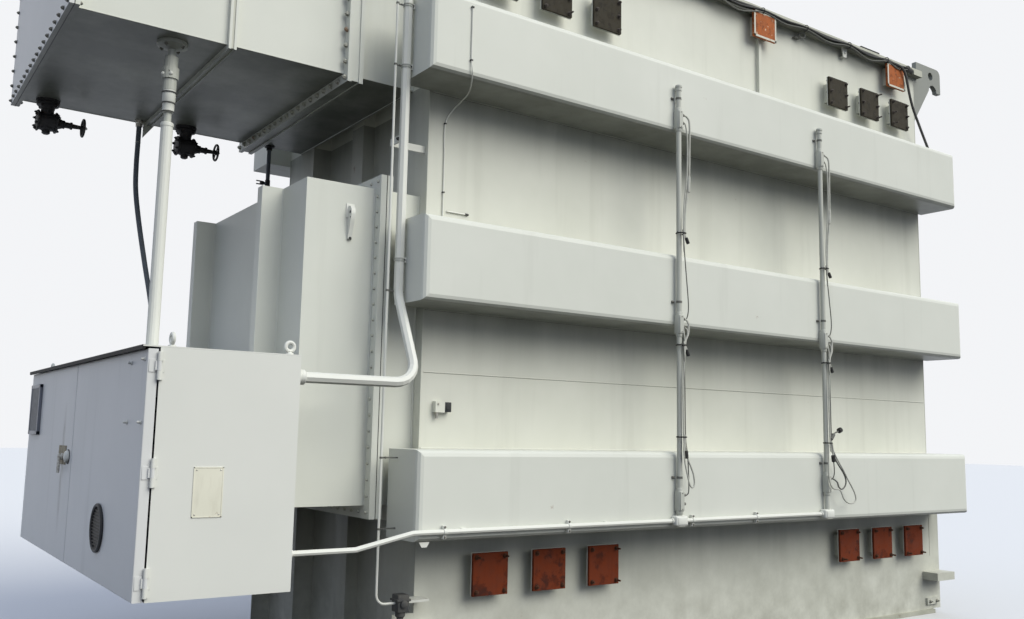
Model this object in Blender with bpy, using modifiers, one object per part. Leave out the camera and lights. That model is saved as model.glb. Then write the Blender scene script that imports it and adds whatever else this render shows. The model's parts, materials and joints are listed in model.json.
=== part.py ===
"""A power transformer without its radiators and bushings, as an assembly of named pieces.

Metres, +Z up. The origin is the middle of the tank's underside. X runs along the long front,
which faces -Y. The upper box, the side compartment and the control cabinet are on the -X end.
"""
import math

import bmesh
import bpy
from mathutils import Matrix, Vector

GAP = 0.0003
OVERRUN = 0.002
WELD_DISTANCE = 0.00003

# Tank
TANK_LENGTH = 4.80
TANK_WIDTH = 2.04
TANK_HEIGHT = 4.50
WALL = 0.012
FLOOR_THICKNESS = 0.030
FLOOR_RIM = 0.020
COVER_THICKNESS = 0.055
COVER_RIM = 0.055

# Folded end walls
POST_WIDTH = 0.42
END_RECESS = 0.130
STIFFENER_WIDTH = 0.16
STIFFENER_DEPTH = 0.080

# Bands
BAND_HEIGHT = 0.46
BAND_DEPTH = 0.317
BAND_EDGE = 0.034
BAND_EDGE_STEPS = 3
BAND_OVERHANG_LEFT = 0.180
BAND_OVERHANG_RIGHT = 0.050
LOWER_BAND_LEVEL = 1.043
UPPER_BAND_DROP = 0.980
MIDDLE_BAND_SHARE = 0.4954

# Core and windings, sealed inside the tank
YOKE_LENGTH = 3.90
YOKE_WIDTH = 0.62
YOKE_HEIGHT = 0.50
COIL_RADIUS = 0.60
COIL_HEIGHT = 2.30

# Closed bushing openings and manhole on the cover
BUSHING_PITCH = 1.30
BUSHING_SETBACK = 0.22
BUSHING_NECK_RADIUS = 0.27
BUSHING_NECK_HEIGHT = 0.11
BUSHING_COVER_RADIUS = 0.33
BUSHING_COVER_THICKNESS = 0.030
MANHOLE_RADIUS = 0.24
MANHOLE_HEIGHT = 0.045
MANHOLE_X_SHARE = 0.79
MANHOLE_Y_SHARE = 0.55
ROUND_STEPS = 32

# Lifting lugs
LUG_THICKNESS = 0.040
LUG_REACH = 0.42
LUG_RISE = 0.160
LUG_FOOT = 0.390
LUG_CORNER = 0.050
LUG_PRONG_DROP = 0.060
LUG_PRONG_WIDTH = 0.060
LUG_NOTCH = 0.060
LUG_HOLE_RADIUS = 0.036
LUG_HOLE_REACH = 0.271
LUG_HOLE_RISE = 0.077

# Jacking pads
JACK_PAD_LEVEL = 0.270
JACK_PAD_THICKNESS = 0.060
JACK_PAD_DEPTH = 0.130
JACK_PAD_INSET = 0.110
JACK_PAD_REACH = 0.130
JACK_GUSSET_RIGHT = 0.460
JACK_GUSSET_LEFT = 0.080

# Small fittings on the front wall
EARTH_PAD_LOW = 0.070
EARTH_PAD_HEIGHT = 0.050
EARTH_PAD_REACH = 0.080
EARTH_PAD_THICKNESS = 0.018
SENSOR_BOX_X = -2.292
SENSOR_BOX_LEVEL = 1.501
SENSOR_BOX_SIDE = 0.060
SENSOR_BOX_DEPTH = 0.035

# Radiator ports
PORT_SIDE = 0.228
PORT_PLATE = 0.020
PORT_STANDOFF = 0.060
PORT_STUB = 0.150
PORT_PITCH = 0.410
PORT_GROUP_LEFT = -1.556
PORT_GROUP_RIGHT = 1.652
LOWER_PORT_LEVEL = 0.594
UPPER_PORT_DROP = 0.425

# Pads under the cover's edge
PAD_WIDTH = 0.240
PAD_HEIGHT = 0.200
PAD_MIDDLE = 0.384
PAD_PITCH = 1.646
PAD_RIB = 0.030

# Upper box
BOX_REACH = 1.883
BOX_INSET = 0.200
BOX_DROP = 1.155
BOX_HEIGHT = 1.055
BOX_JOINT_REACH = 0.351
BOX_RIB_REACH = 1.064
BOX_FLANGE = 0.024
BOX_FLANGE_EDGE = 0.056
BOX_JOINT_SPREAD = 0.045
BOX_END_SIDE = 0.085
BOX_END_DROP = 0.020
BOX_RIB_BAR = 0.014
BOX_RIB_SPREAD = 0.014

# Side compartment
SIDE_REACH = 0.679
SIDE_INSET = 0.080
SIDE_BOTTOM = 0.972
SIDE_TOP = 2.687
SIDE_JOINT_REACH = 0.242
SIDE_FLANGE = 0.036
SIDE_FLANGE_EDGE = 0.068
RIB_DEPTH = 0.121
RIB_THICKNESS = 0.069
RIB_PITCH = 1.157
RAIL_DEPTH = 0.062
RAIL_BOTTOM = 0.760
RAIL_TOP = 1.600
RAIL_FOOT = 0.110

# Control cabinet
CABINET_DEPTH = 0.635
CABINET_WIDTH = 2.832
CABINET_BOTTOM = 0.639
CABINET_HEIGHT = 1.059
CABINET_SHEET = 0.004
ROOF_THICKNESS = 0.006
ROOF_OVERHANG = 0.022
DOOR_THICKNESS = 0.043
DOOR_GAP = 0.008
DOOR_SEAM = 0.008
DOOR_EDGE = 0.004
KNUCKLE_RADIUS = 0.009
KNUCKLE_HEIGHT = 0.040
KNUCKLE_PLAY = 0.0005
KNUCKLE_STANDOFF = 0.001
KNUCKLE_TAB = 0.012
HINGE_END = 0.080
HANDLE_OFFSET = 0.205
HANDLE_LEVEL_SHARE = 0.52
HANDLE_BASE_RADIUS = 0.034
HANDLE_BASE_THICKNESS = 0.012
HANDLE_STEM_RADIUS = 0.010
HANDLE_STEM_LENGTH = 0.034
HANDLE_LEVER_LENGTH = 0.120
HANDLE_LEVER_WIDTH = 0.026
HANDLE_LEVER_THICKNESS = 0.016
HANDLE_PLAY = 0.0005
WINDOW_WIDTH = 0.310
WINDOW_HEIGHT = 0.315
WINDOW_DEPTH = 0.043
WINDOW_EDGE = 0.076
WINDOW_DROP = 0.083
VENT_RADIUS = 0.115
VENT_THICKNESS = 0.012
VENT_EDGE = 0.686
VENT_LEVEL = 0.246

# Pipe from the cabinet to the upper box
PIPE_RADIUS = 0.0305
PIPE_THIN_RADIUS = 0.019
PIPE_Y = -0.660
PIPE_INSET = 0.157
PIPE_UNION_LENGTH = 0.430
UNION_RADIUS = 0.034
UNION_RING_RADIUS = 0.042
UNION_RING_HEIGHT = 0.060
UNION_RINGS = 4
UNION_DISC_RADIUS = 0.078
UNION_DISC_THICKNESS = 0.018

# Conduits and leads
MAIN_RADIUS = 0.026
MAIN_EXIT_DROP = 0.093
MAIN_EXIT_INSET = 0.050
MAIN_BEND = 0.130
MAIN_SETBACK = 0.108
MAIN_CLEARANCE = 0.009
MAIN_SWAN_LEVEL = 2.080
LOW_RADIUS = 0.0135
LOW_EXIT_RISE = 0.158
LOW_LEVEL_RISE = 0.049
LOW_BEND = 0.060
CLIP_WIDTH = 0.030
CLIP_THICKNESS = 0.006
CLIP_REACH = 0.030
CLIP_SPREAD = 0.175
BAR_LEVEL = 2.950
BAR_HEIGHT = 0.040
BAR_THICKNESS = 0.008
BAR_INSET = 0.030
LOW_CLIP_SHARES = (0.08, 0.38, 0.78)
THIN_RADIUS = 0.007
THIN_BEND = 0.050
THIN_SPACING = 0.040
THIN_RISE = 0.070
SOCKET_WIDTH = 0.060
SOCKET_HEIGHT = 0.080
SOCKET_DEPTH = 0.065
SOCKET_LEVEL = 0.490
SOCKET_REACH = 0.140
SOCKET_SHELF = 0.012
SOCKET_SHELF_HOLD = 0.030
RISER_RADIUS = 0.0165
RISER_CLEARANCE = 0.012
RISER_LEFT = -0.777
RISER_RIGHT = 0.635
RISER_TOP_RISE = 0.060
RISER_FOOT_HEIGHT = 0.060
RISER_FITTING_WIDTH = 0.050
RISER_FITTING_HEIGHT = 0.130
RISER_FITTING_DEPTH = 0.050
FITTING_UPPER_DROP = 0.090
FITTING_MIDDLE_DROP = 0.150
FITTING_LOWER_RISE = 0.020
FITTING_CLIP_RISE = 0.060
LEAD_RADIUS = 0.0055
LEAD_SPACING = 0.030
LEAD_BEND = 0.025
LEAD_BEND_STEPS = 4
LEAD_END_RISE = 0.100
LEAD_LOOP_DROP = 0.300
LEAD_LOOP_WIDTH = 0.220
FLEX_RADIUS = 0.016
FLEX_BEND = 0.300
FLEX_REACH = 1.145
FLEX_LANDING_INSET = 0.088
FLEX_EDGE = 0.040
FLEX_STRAIGHT = 0.440
FLEX_LANDING = 0.250
DRAIN_RADIUS = 0.014
DRAIN_REACH = 0.260
DRAIN_LENGTH = 0.300
DRAIN_SPUR = 0.050
DRAIN_SPUR_RADIUS = 0.011
EDGE_CABLE_RADIUS = 0.015
EDGE_CABLE_BEND = 0.070
EDGE_CABLE_EXIT = 0.100
EDGE_CABLE_RUN = 0.250
EDGE_CABLE_LEAVE = 2.240
EDGE_CABLE_KNEE = 2.290
EDGE_CABLE_KNEE_DROP = 0.360
EDGE_CABLE_LANDING = 2.360
EDGE_CABLE_LANDING_SHARE = 0.72
JUNCTION_LENGTH = 0.300
JUNCTION_WIDTH = 0.220
JUNCTION_HEIGHT = 0.260
JUNCTION_INSET = 0.130

# Drain valves
VALVE_FIRST_INSET = 0.183
VALVE_PITCH = 0.840
VALVE_EDGE = 0.095
VALVE_FLANGE_RADIUS = 0.068
VALVE_FLANGE_THICKNESS = 0.018
VALVE_NECK_RADIUS = 0.038
VALVE_NECK_LENGTH = 0.060
VALVE_BODY_RADIUS = 0.056
VALVE_BODY_LENGTH = 0.110
VALVE_BONNET_RADIUS = 0.024
VALVE_BONNET_LENGTH = 0.140
WHEEL_RADIUS = 0.060
WHEEL_RIM = 0.0075
WHEEL_HUB_RADIUS = 0.014
WHEEL_HUB_LENGTH = 0.026
WHEEL_SPOKE = 0.008
WHEEL_SPOKES = 4
WHEEL_PLAY = 0.0005

TUBE_STEPS = 16
BEND_STEPS = 6

HALF_LENGTH = TANK_LENGTH / 2
HALF_WIDTH = TANK_WIDTH / 2
FRONT_FACE = -HALF_WIDTH
UPPER_BAND_LEVEL = TANK_HEIGHT - UPPER_BAND_DROP
MIDDLE_BAND_LEVEL = LOWER_BAND_LEVEL + MIDDLE_BAND_SHARE * (UPPER_BAND_LEVEL - LOWER_BAND_LEVEL)
BAND_FACE = HALF_WIDTH + GAP + BAND_DEPTH
BOX_WIDTH = TANK_WIDTH - 2 * BOX_INSET
BOX_BOTTOM = TANK_HEIGHT - BOX_DROP
BOX_TOP = BOX_BOTTOM + BOX_HEIGHT
SIDE_WIDTH = TANK_WIDTH - 2 * SIDE_INSET
CABINET_BACK = -(HALF_LENGTH + SIDE_REACH + RIB_DEPTH + RAIL_DEPTH + GAP)
CABINET_MOUTH = CABINET_BACK - CABINET_DEPTH
CABINET_TOP = CABINET_BOTTOM + CABINET_HEIGHT
DOOR_INNER = CABINET_MOUTH - DOOR_GAP
DOOR_OUTER = DOOR_INNER - DOOR_THICKNESS
HINGE_X = CABINET_MOUTH - DOOR_GAP / 2
HINGE_Y = CABINET_WIDTH / 2 + KNUCKLE_RADIUS + KNUCKLE_STANDOFF
FLEX_UPPER_X = -(HALF_LENGTH + FLEX_REACH)
FLEX_LOWER_X = CABINET_BACK - FLEX_LANDING_INSET
FLEX_Y = BOX_WIDTH / 2 - FLEX_EDGE

COLOURS = {
    "tank_paint": ((0.66, 0.67, 0.63), 0.45, 0.0),
    "cabinet_paint": ((0.63, 0.64, 0.62), 0.42, 0.0),
    "core_steel": ((0.20, 0.16, 0.12), 0.60, 0.2),
    "conduit_paint": ((0.60, 0.61, 0.58), 0.45, 0.0),
    "dark_hose": ((0.09, 0.09, 0.10), 0.60, 0.0),
    "valve_iron": ((0.03, 0.03, 0.035), 0.60, 0.3),
    "handle_metal": ((0.62, 0.62, 0.60), 0.35, 0.6),
    "window_grey": ((0.10, 0.11, 0.13), 0.35, 0.0),
}


def clear_scene():
    """Removes every object of the scene."""
    for piece in list(bpy.data.objects):
        bpy.data.objects.remove(piece, do_unlink=True)


def make_material(name):
    """Returns a Principled material with the colour, roughness and metallic value of its name."""
    colour, roughness, metallic = COLOURS[name]
    material = bpy.data.materials.new(name)
    material.use_nodes = True
    shader = material.node_tree.nodes["Principled BSDF"]
    shader.inputs["Base Color"].default_value = (*colour, 1.0)
    shader.inputs["Roughness"].default_value = roughness
    shader.inputs["Metallic"].default_value = metallic
    return material


clear_scene()
MATERIALS = {name: make_material(name) for name in COLOURS}
PARTS = bpy.data.collections.new("power_transformer")
bpy.context.scene.collection.children.link(PARTS)


def add_axis(name, place, parent=None):
    """Adds an empty at a joint's axis or at the origin."""
    axis = bpy.data.objects.new(name, None)
    PARTS.objects.link(axis)
    axis.location = place
    if parent is not None:
        axis.parent = parent
        axis.matrix_parent_inverse = Matrix.Translation(-parent.matrix_world.translation)
    bpy.context.view_layer.update()
    return axis


BASE = add_axis("transformer", (0, 0, 0))


def add_piece(name, mesh, place, material):
    """Links a mesh as a named piece at a place."""
    mesh.materials.clear()
    mesh.materials.append(MATERIALS[material])
    piece = bpy.data.objects.new(name, mesh)
    piece.location = place
    PARTS.objects.link(piece)
    return piece


def hang(piece, axis):
    """Parents a piece to an axis and keeps its place."""
    bpy.context.view_layer.update()
    place = piece.matrix_world.copy()
    piece.parent = axis
    piece.matrix_parent_inverse = axis.matrix_world.inverted()
    piece.matrix_world = place
    return piece


def add_box(name, low, high, material="tank_paint"):
    """Adds a box between two corners."""
    low, high = Vector(low), Vector(high)
    shape = bmesh.new()
    bmesh.ops.create_cube(shape, size=1)
    bmesh.ops.scale(shape, vec=high - low, verts=shape.verts)
    mesh = bpy.data.meshes.new(name)
    shape.to_mesh(mesh)
    shape.free()
    return add_piece(name, mesh, (low + high) / 2, material)


def add_rod(name, start, end, radius, material="tank_paint", steps=TUBE_STEPS, end_radius=None):
    """Adds a cylinder or a cone from one point to another."""
    start, end = Vector(start), Vector(end)
    run = end - start
    shape = bmesh.new()
    far = radius if end_radius is None else end_radius
    bmesh.ops.create_cone(shape, cap_ends=True, segments=steps, radius1=radius, radius2=far, depth=run.length)
    bmesh.ops.rotate(shape, matrix=run.to_track_quat("Z", "Y").to_matrix(), verts=shape.verts)
    mesh = bpy.data.meshes.new(name)
    shape.to_mesh(mesh)
    shape.free()
    mesh.shade_smooth()
    mesh.set_sharp_from_angle(angle=math.radians(35))
    return add_piece(name, mesh, (start + end) / 2, material)


def add_tube(name, points, radius, material):
    """Adds a tube along points, as a curve with filled caps."""
    route = bpy.data.curves.new(name, "CURVE")
    route.dimensions = "3D"
    route.bevel_depth = radius
    route.bevel_resolution = 2
    route.use_fill_caps = True
    line = route.splines.new("POLY")
    line.points.add(len(points) - 1)
    for knot, point in zip(line.points, points):
        knot.co = (*point, 1.0)
    route.materials.append(MATERIALS[material])
    tube = bpy.data.objects.new(name, route)
    PARTS.objects.link(tube)
    return tube


def as_mesh(curve):
    """Turns a curve piece into a mesh piece with welded caps."""
    bpy.context.view_layer.update()
    graph = bpy.context.evaluated_depsgraph_get()
    mesh = bpy.data.meshes.new_from_object(curve.evaluated_get(graph))
    shape = bmesh.new()
    shape.from_mesh(mesh)
    bmesh.ops.remove_doubles(shape, verts=shape.verts, dist=WELD_DISTANCE)
    bmesh.ops.recalc_face_normals(shape, faces=shape.faces)
    shape.to_mesh(mesh)
    shape.free()
    name, place = curve.name, curve.matrix_world.copy()
    bpy.data.objects.remove(curve, do_unlink=True)
    piece = bpy.data.objects.new(name, mesh)
    piece.matrix_world = place
    PARTS.objects.link(piece)
    return piece


def add_upright_plate(name, outline, depth, thickness, material="tank_paint"):
    """Adds a plate with an outline of (x, z) points, its middle plane at y = depth."""
    flat = bpy.data.curves.new(name, "CURVE")
    flat.dimensions = "2D"
    flat.fill_mode = "BOTH"
    flat.extrude = thickness / 2
    edge = flat.splines.new("POLY")
    edge.points.add(len(outline) - 1)
    for knot, (across, up) in zip(edge.points, outline):
        knot.co = (across, up, 0, 1.0)
    edge.use_cyclic_u = True
    plate = bpy.data.objects.new(name, flat)
    plate.location = (0, depth, 0)
    plate.rotation_euler = (math.radians(90), 0, 0)
    PARTS.objects.link(plate)
    piece = as_mesh(plate)
    piece.data.materials.clear()
    piece.data.materials.append(MATERIALS[material])
    return piece


def apply_modifiers(piece):
    """Replaces a piece's mesh by the one that its modifiers give."""
    bpy.context.view_layer.update()
    graph = bpy.context.evaluated_depsgraph_get()
    mesh = bpy.data.meshes.new_from_object(piece.evaluated_get(graph))
    piece.modifiers.clear()
    piece.data = mesh


def combine(base, tools, operation="UNION"):
    """Fuses pieces to a base, or cuts them from it, and returns the base."""
    for tool in tools:
        step = base.modifiers.new(operation.lower(), "BOOLEAN")
        step.operation = operation
        step.solver = "EXACT"
        step.object = tool
        apply_modifiers(base)
        bpy.data.objects.remove(tool, do_unlink=True)
    return base


def round_edges(piece, radius, steps, chosen):
    """Rounds the edges for which chosen says yes, given the edge's two ends in local metres."""
    shape = bmesh.new()
    shape.from_mesh(piece.data)
    edges = [edge for edge in shape.edges if chosen(edge.verts[0].co, edge.verts[1].co)]
    bmesh.ops.bevel(shape, geom=edges, offset=radius, segments=steps, profile=0.5, affect="EDGES",
                    clamp_overlap=True)
    shape.to_mesh(piece.data)
    shape.free()
    piece.data.shade_smooth()
    piece.data.set_sharp_from_angle(angle=math.radians(35))
    return piece


def bent_route(corners, radius, steps=BEND_STEPS):
    """Returns the points of a line through corners, with each inner corner rounded."""
    corners = [Vector(corner) for corner in corners]
    points = [corners[0]]
    for before, corner, after in zip(corners, corners[1:], corners[2:]):
        back = (before - corner).normalized()
        ahead = (after - corner).normalized()
        angle = back.angle(ahead)
        reach = radius / math.tan(angle / 2)
        reach = min(reach, (before - corner).length / 2, (after - corner).length / 2)
        middle_reach = reach / math.cos(angle / 2)
        centre = corner + (back + ahead).normalized() * middle_reach
        spoke = corner + back * reach - centre
        end_spoke = corner + ahead * reach - centre
        turn = spoke.angle(end_spoke)
        for step in range(steps + 1):
            part = step / steps
            weight = math.sin((1 - part) * turn) / math.sin(turn)
            end_weight = math.sin(part * turn) / math.sin(turn)
            points.append(centre + spoke * weight + end_spoke * end_weight)
    points.append(corners[-1])
    return points


def arc(centre, radius, start, end, steps):
    """Returns points on an arc in the outline's plane, angles in degrees."""
    angles = [math.radians(start + (end - start) * step / steps) for step in range(steps + 1)]
    return [(centre[0] + radius * math.cos(angle), centre[1] + radius * math.sin(angle)) for angle in angles]


# Tank

def build_floor():
    """Bottom plate, with a rim round the walls."""
    reach = Vector((HALF_LENGTH + FLOOR_RIM, HALF_WIDTH + FLOOR_RIM, 0))
    hang(add_box("tank_floor", -reach, reach + Vector((0, 0, FLOOR_THICKNESS))), BASE)


def wall_faces(side, inner, outer):
    """Returns the lower and higher y of what lies between two distances from the tank's middle."""
    return sorted((side * inner, side * outer))


def blanked_port(side, across, low, width, height):
    """Stub and closing plate of one port on a long wall."""
    plate_back = HALF_WIDTH + PORT_STANDOFF
    stub = wall_faces(side, HALF_WIDTH - OVERRUN, plate_back + PORT_PLATE / 2)
    plate = wall_faces(side, plate_back, plate_back + PORT_PLATE)
    middle = low + height / 2
    half = PORT_STUB / 2
    return [add_box("stub", (across - half, stub[0], middle - half), (across + half, stub[1], middle + half)),
            add_box("plate", (across - width / 2, plate[0], low), (across + width / 2, plate[1], low + height))]


def wall_ports(side):
    """Two rows of six blanked ports, and two pads under the cover's rim, one on a rib."""
    pieces = []
    for level in (LOWER_PORT_LEVEL, TANK_HEIGHT - UPPER_PORT_DROP):
        for middle in (PORT_GROUP_LEFT, PORT_GROUP_RIGHT):
            for count in (-1, 0, 1):
                pieces += blanked_port(side, middle + count * PORT_PITCH, level - PORT_SIDE / 2,
                                       PORT_SIDE, PORT_SIDE)
    pad_low = TANK_HEIGHT - GAP - PAD_HEIGHT
    for across in (PAD_MIDDLE, PAD_MIDDLE + PAD_PITCH):
        pieces += blanked_port(side, across, pad_low, PAD_WIDTH, PAD_HEIGHT)
    rib = wall_faces(side, HALF_WIDTH - OVERRUN, HALF_WIDTH + PAD_RIB)
    pieces.append(add_box("rib", (PAD_MIDDLE - PAD_RIB / 2, rib[0], UPPER_BAND_LEVEL + BAND_HEIGHT / 2 + GAP),
                          (PAD_MIDDLE + PAD_RIB / 2, rib[1], TANK_HEIGHT - PAD_HEIGHT / 2)))
    return pieces


def jacking_pads(side):
    """A pad at each lower corner, with a gusset in the wall's plane above and below it."""
    faces = wall_faces(side, HALF_WIDTH - WALL / 2, HALF_WIDTH + JACK_PAD_DEPTH)
    top = JACK_PAD_LEVEL + JACK_PAD_THICKNESS
    pieces = []
    for end, rise in ((-1, JACK_GUSSET_LEFT), (1, JACK_GUSSET_RIGHT)):
        reaches = sorted((end * (HALF_LENGTH - JACK_PAD_INSET), end * (HALF_LENGTH + JACK_PAD_REACH)))
        pieces.append(add_box("pad", (reaches[0], faces[0], JACK_PAD_LEVEL), (reaches[1], faces[1], top)))
        inner = end * (HALF_LENGTH - OVERRUN)
        outer = end * (HALF_LENGTH + JACK_PAD_REACH - OVERRUN)
        corners = [(inner, FLOOR_THICKNESS + OVERRUN), (outer, FLOOR_THICKNESS + OVERRUN),
                   (outer, top + rise), (inner, top + rise)]
        middle = side * (HALF_WIDTH - WALL / 2)
        pieces.append(add_upright_plate("gusset", corners, middle, WALL - OVERRUN))
    return pieces


def front_fittings():
    """Earthing pad at the right corner and a small sensor box at the left one."""
    faces = wall_faces(-1, HALF_WIDTH - WALL / 2, HALF_WIDTH + EARTH_PAD_THICKNESS)
    earth_top = EARTH_PAD_LOW + EARTH_PAD_HEIGHT
    half = SENSOR_BOX_SIDE / 2
    sensor = wall_faces(-1, HALF_WIDTH - WALL / 2, HALF_WIDTH + SENSOR_BOX_DEPTH)
    return [add_box("earth", (HALF_LENGTH - EARTH_PAD_REACH, faces[0], EARTH_PAD_LOW),
                    (HALF_LENGTH + EARTH_PAD_REACH, faces[1], earth_top)),
            add_box("sensor", (SENSOR_BOX_X - half, sensor[0], SENSOR_BOX_LEVEL - half),
                    (SENSOR_BOX_X + half, sensor[1], SENSOR_BOX_LEVEL + half))]


def build_long_wall(name, side):
    """Front or back wall, with its blanked ports, pads and jacking pads."""
    faces = wall_faces(side, HALF_WIDTH - WALL, HALF_WIDTH)
    wall = add_box(name, (-HALF_LENGTH, faces[0], FLOOR_THICKNESS + GAP),
                   (HALF_LENGTH, faces[1], TANK_HEIGHT - GAP))
    pieces = wall_ports(side) + jacking_pads(side)
    if side < 0:
        pieces += front_fittings()
    hang(combine(wall, pieces), BASE)


def build_end_wall(name, end):
    """End wall folded back between its corner posts, with a stiffener down its middle."""
    outer = HALF_LENGTH
    inner = HALF_LENGTH - END_RECESS
    proud = inner + STIFFENER_DEPTH
    edge = HALF_WIDTH - WALL - GAP
    post = HALF_WIDTH - POST_WIDTH
    rib = STIFFENER_WIDTH / 2
    plan = [(outer, -edge), (outer, -post), (inner, -post), (inner, -rib), (proud, -rib),
            (proud, rib), (inner, rib), (inner, post), (outer, post), (outer, edge)]
    low, high = FLOOR_THICKNESS + GAP, TANK_HEIGHT - GAP
    shape = bmesh.new()
    columns = [[shape.verts.new((end * across, along, up)) for up in (low, high)] for across, along in plan]
    for (foot, top), (next_foot, next_top) in zip(columns, columns[1:]):
        shape.faces.new((foot, next_foot, next_top, top))
    if end < 0:
        bmesh.ops.reverse_faces(shape, faces=shape.faces)
    mesh = bpy.data.meshes.new(name)
    shape.to_mesh(mesh)
    shape.free()
    wall = add_piece(name, mesh, (0, 0, 0), "tank_paint")
    sheet = wall.modifiers.new("sheet", "SOLIDIFY")
    sheet.thickness = WALL
    sheet.offset = -1
    sheet.use_even_offset = True
    apply_modifiers(wall)
    hang(wall, BASE)


def build_cover():
    """Cover plate with its rim, three closed bushing openings and a manhole."""
    reach = Vector((HALF_LENGTH + COVER_RIM, HALF_WIDTH + COVER_RIM, 0))
    low = Vector((0, 0, TANK_HEIGHT))
    top = TANK_HEIGHT + COVER_THICKNESS
    cover = add_box("tank_cover", low - reach, low + reach + Vector((0, 0, COVER_THICKNESS)))
    extras = []
    neck_top = top + BUSHING_NECK_HEIGHT
    for count in (-1, 0, 1):
        across, along = count * BUSHING_PITCH, BUSHING_SETBACK
        extras.append(add_rod("neck", (across, along, top - OVERRUN), (across, along, neck_top),
                              BUSHING_NECK_RADIUS, steps=ROUND_STEPS))
        extras.append(add_rod("blank", (across, along, neck_top - OVERRUN),
                              (across, along, neck_top + BUSHING_COVER_THICKNESS),
                              BUSHING_COVER_RADIUS, steps=ROUND_STEPS))
    across, along = MANHOLE_X_SHARE * HALF_LENGTH, -MANHOLE_Y_SHARE * HALF_WIDTH
    extras.append(add_rod("manhole", (across, along, top - OVERRUN), (across, along, top + MANHOLE_HEIGHT),
                          MANHOLE_RADIUS, steps=ROUND_STEPS))
    hang(combine(cover, extras), BASE)


def build_band(name, side, level):
    """One deep band across the front or the back, its outer edges rounded."""
    faces = sorted((side * (HALF_WIDTH + GAP), side * BAND_FACE))
    low = (-HALF_LENGTH - BAND_OVERHANG_LEFT, faces[0], level - BAND_HEIGHT / 2)
    high = (HALF_LENGTH + BAND_OVERHANG_RIGHT, faces[1], level + BAND_HEIGHT / 2)
    band = add_box(name, low, high)

    def on_outer_face(one, other):
        return one.y * side > 0 and other.y * side > 0

    hang(round_edges(band, BAND_EDGE, BAND_EDGE_STEPS, on_outer_face), BASE)


def build_lug(name, end, side):
    """Lifting lug on a corner post, hooked round the cover's rim, with one shackle hole."""
    past_rim = COVER_RIM + GAP
    prong_inner = LUG_REACH - LUG_PRONG_WIDTH
    notch_middle = prong_inner - LUG_NOTCH
    outline = [(GAP, -LUG_FOOT), (GAP, -GAP), (past_rim, -GAP), (past_rim, LUG_RISE)]
    outline += reversed(arc((LUG_REACH - LUG_CORNER, LUG_RISE - LUG_CORNER), LUG_CORNER, 0, 90, 4))
    outline += [(LUG_REACH, -LUG_PRONG_DROP), (prong_inner, -LUG_PRONG_DROP)]
    outline += arc((notch_middle, -LUG_PRONG_DROP), LUG_NOTCH, 0, 180, 8)[1:]
    places = [(end * (HALF_LENGTH + reach), TANK_HEIGHT + rise) for reach, rise in outline]
    depth = side * (HALF_WIDTH - LUG_THICKNESS / 2)
    lug = add_upright_plate(name, places, depth, LUG_THICKNESS)
    across = end * (HALF_LENGTH + LUG_HOLE_REACH)
    up = TANK_HEIGHT + LUG_HOLE_RISE
    hole = add_rod("hole", (across, depth - LUG_THICKNESS, up), (across, depth + LUG_THICKNESS, up),
                   LUG_HOLE_RADIUS, steps=TUBE_STEPS)
    hang(combine(lug, [hole], "DIFFERENCE"), BASE)


def build_core():
    """Core with its two yokes and three windings, standing on the tank's floor."""
    low = FLOOR_THICKNESS + GAP
    coil_low = low + YOKE_HEIGHT
    coil_top = coil_low + COIL_HEIGHT
    reach = Vector((YOKE_LENGTH / 2, YOKE_WIDTH / 2, 0))
    core = add_box("core_and_windings", -reach + Vector((0, 0, low)), reach + Vector((0, 0, coil_low)),
                   "core_steel")
    pieces = [add_box("yoke", -reach + Vector((0, 0, coil_top)),
                      reach + Vector((0, 0, coil_top + YOKE_HEIGHT)), "core_steel")]
    for count in (-1, 0, 1):
        across = count * BUSHING_PITCH
        pieces.append(add_rod("coil", (across, 0, coil_low - OVERRUN), (across, 0, coil_top + OVERRUN),
                              COIL_RADIUS, "core_steel", ROUND_STEPS))
    hang(combine(core, pieces), BASE)


# Upper box

def box_slab(name, reach, thickness, side_edge, level_edge):
    """A slab across the upper box, from a reach outwards, wider and taller than the box by its edges."""
    half = BOX_WIDTH / 2 + side_edge
    return add_box(name, (-HALF_LENGTH - reach - thickness, -half, BOX_BOTTOM - level_edge),
                   (-HALF_LENGTH - reach, half, BOX_TOP + level_edge))


def build_upper_box():
    """Inner section welded to the tank, outer section bolted to it, and the end cover."""
    lip = BOX_FLANGE_EDGE
    inner_end = BOX_JOINT_REACH + BOX_FLANGE
    inner = box_slab("upper_box_inner", GAP, inner_end - GAP, 0, 0)
    hang(combine(inner, [box_slab("flange", BOX_JOINT_REACH, BOX_FLANGE, lip, lip)]), BASE)
    outer_start = inner_end + GAP
    outer_end = BOX_REACH - BOX_FLANGE - GAP
    outer = box_slab("upper_box_outer", outer_start, outer_end - outer_start, 0, 0)
    second_bar = BOX_RIB_REACH + BOX_RIB_BAR + BOX_RIB_SPREAD
    bars = [box_slab("flange", outer_start + BOX_JOINT_SPREAD, BOX_FLANGE, lip, lip),
            box_slab("bar", BOX_RIB_REACH, BOX_RIB_BAR, lip / 2, lip / 2),
            box_slab("bar", second_bar, BOX_RIB_BAR, lip / 2, lip / 2),
            box_slab("flange", outer_end - BOX_FLANGE, BOX_FLANGE, BOX_END_SIDE, BOX_END_DROP)]
    hang(combine(outer, bars), BASE)
    hang(box_slab("upper_box_end_cover", outer_end + GAP, BOX_FLANGE, BOX_END_SIDE, BOX_END_DROP), BASE)


# Side compartment

def side_slab(name, reach, thickness, edge):
    """A slab across the side compartment, from a reach outwards, wider than it by edge all round."""
    half = SIDE_WIDTH / 2 + edge
    return add_box(name, (-HALF_LENGTH - reach - thickness, -half, SIDE_BOTTOM - edge),
                   (-HALF_LENGTH - reach, half, SIDE_TOP + edge))


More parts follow.
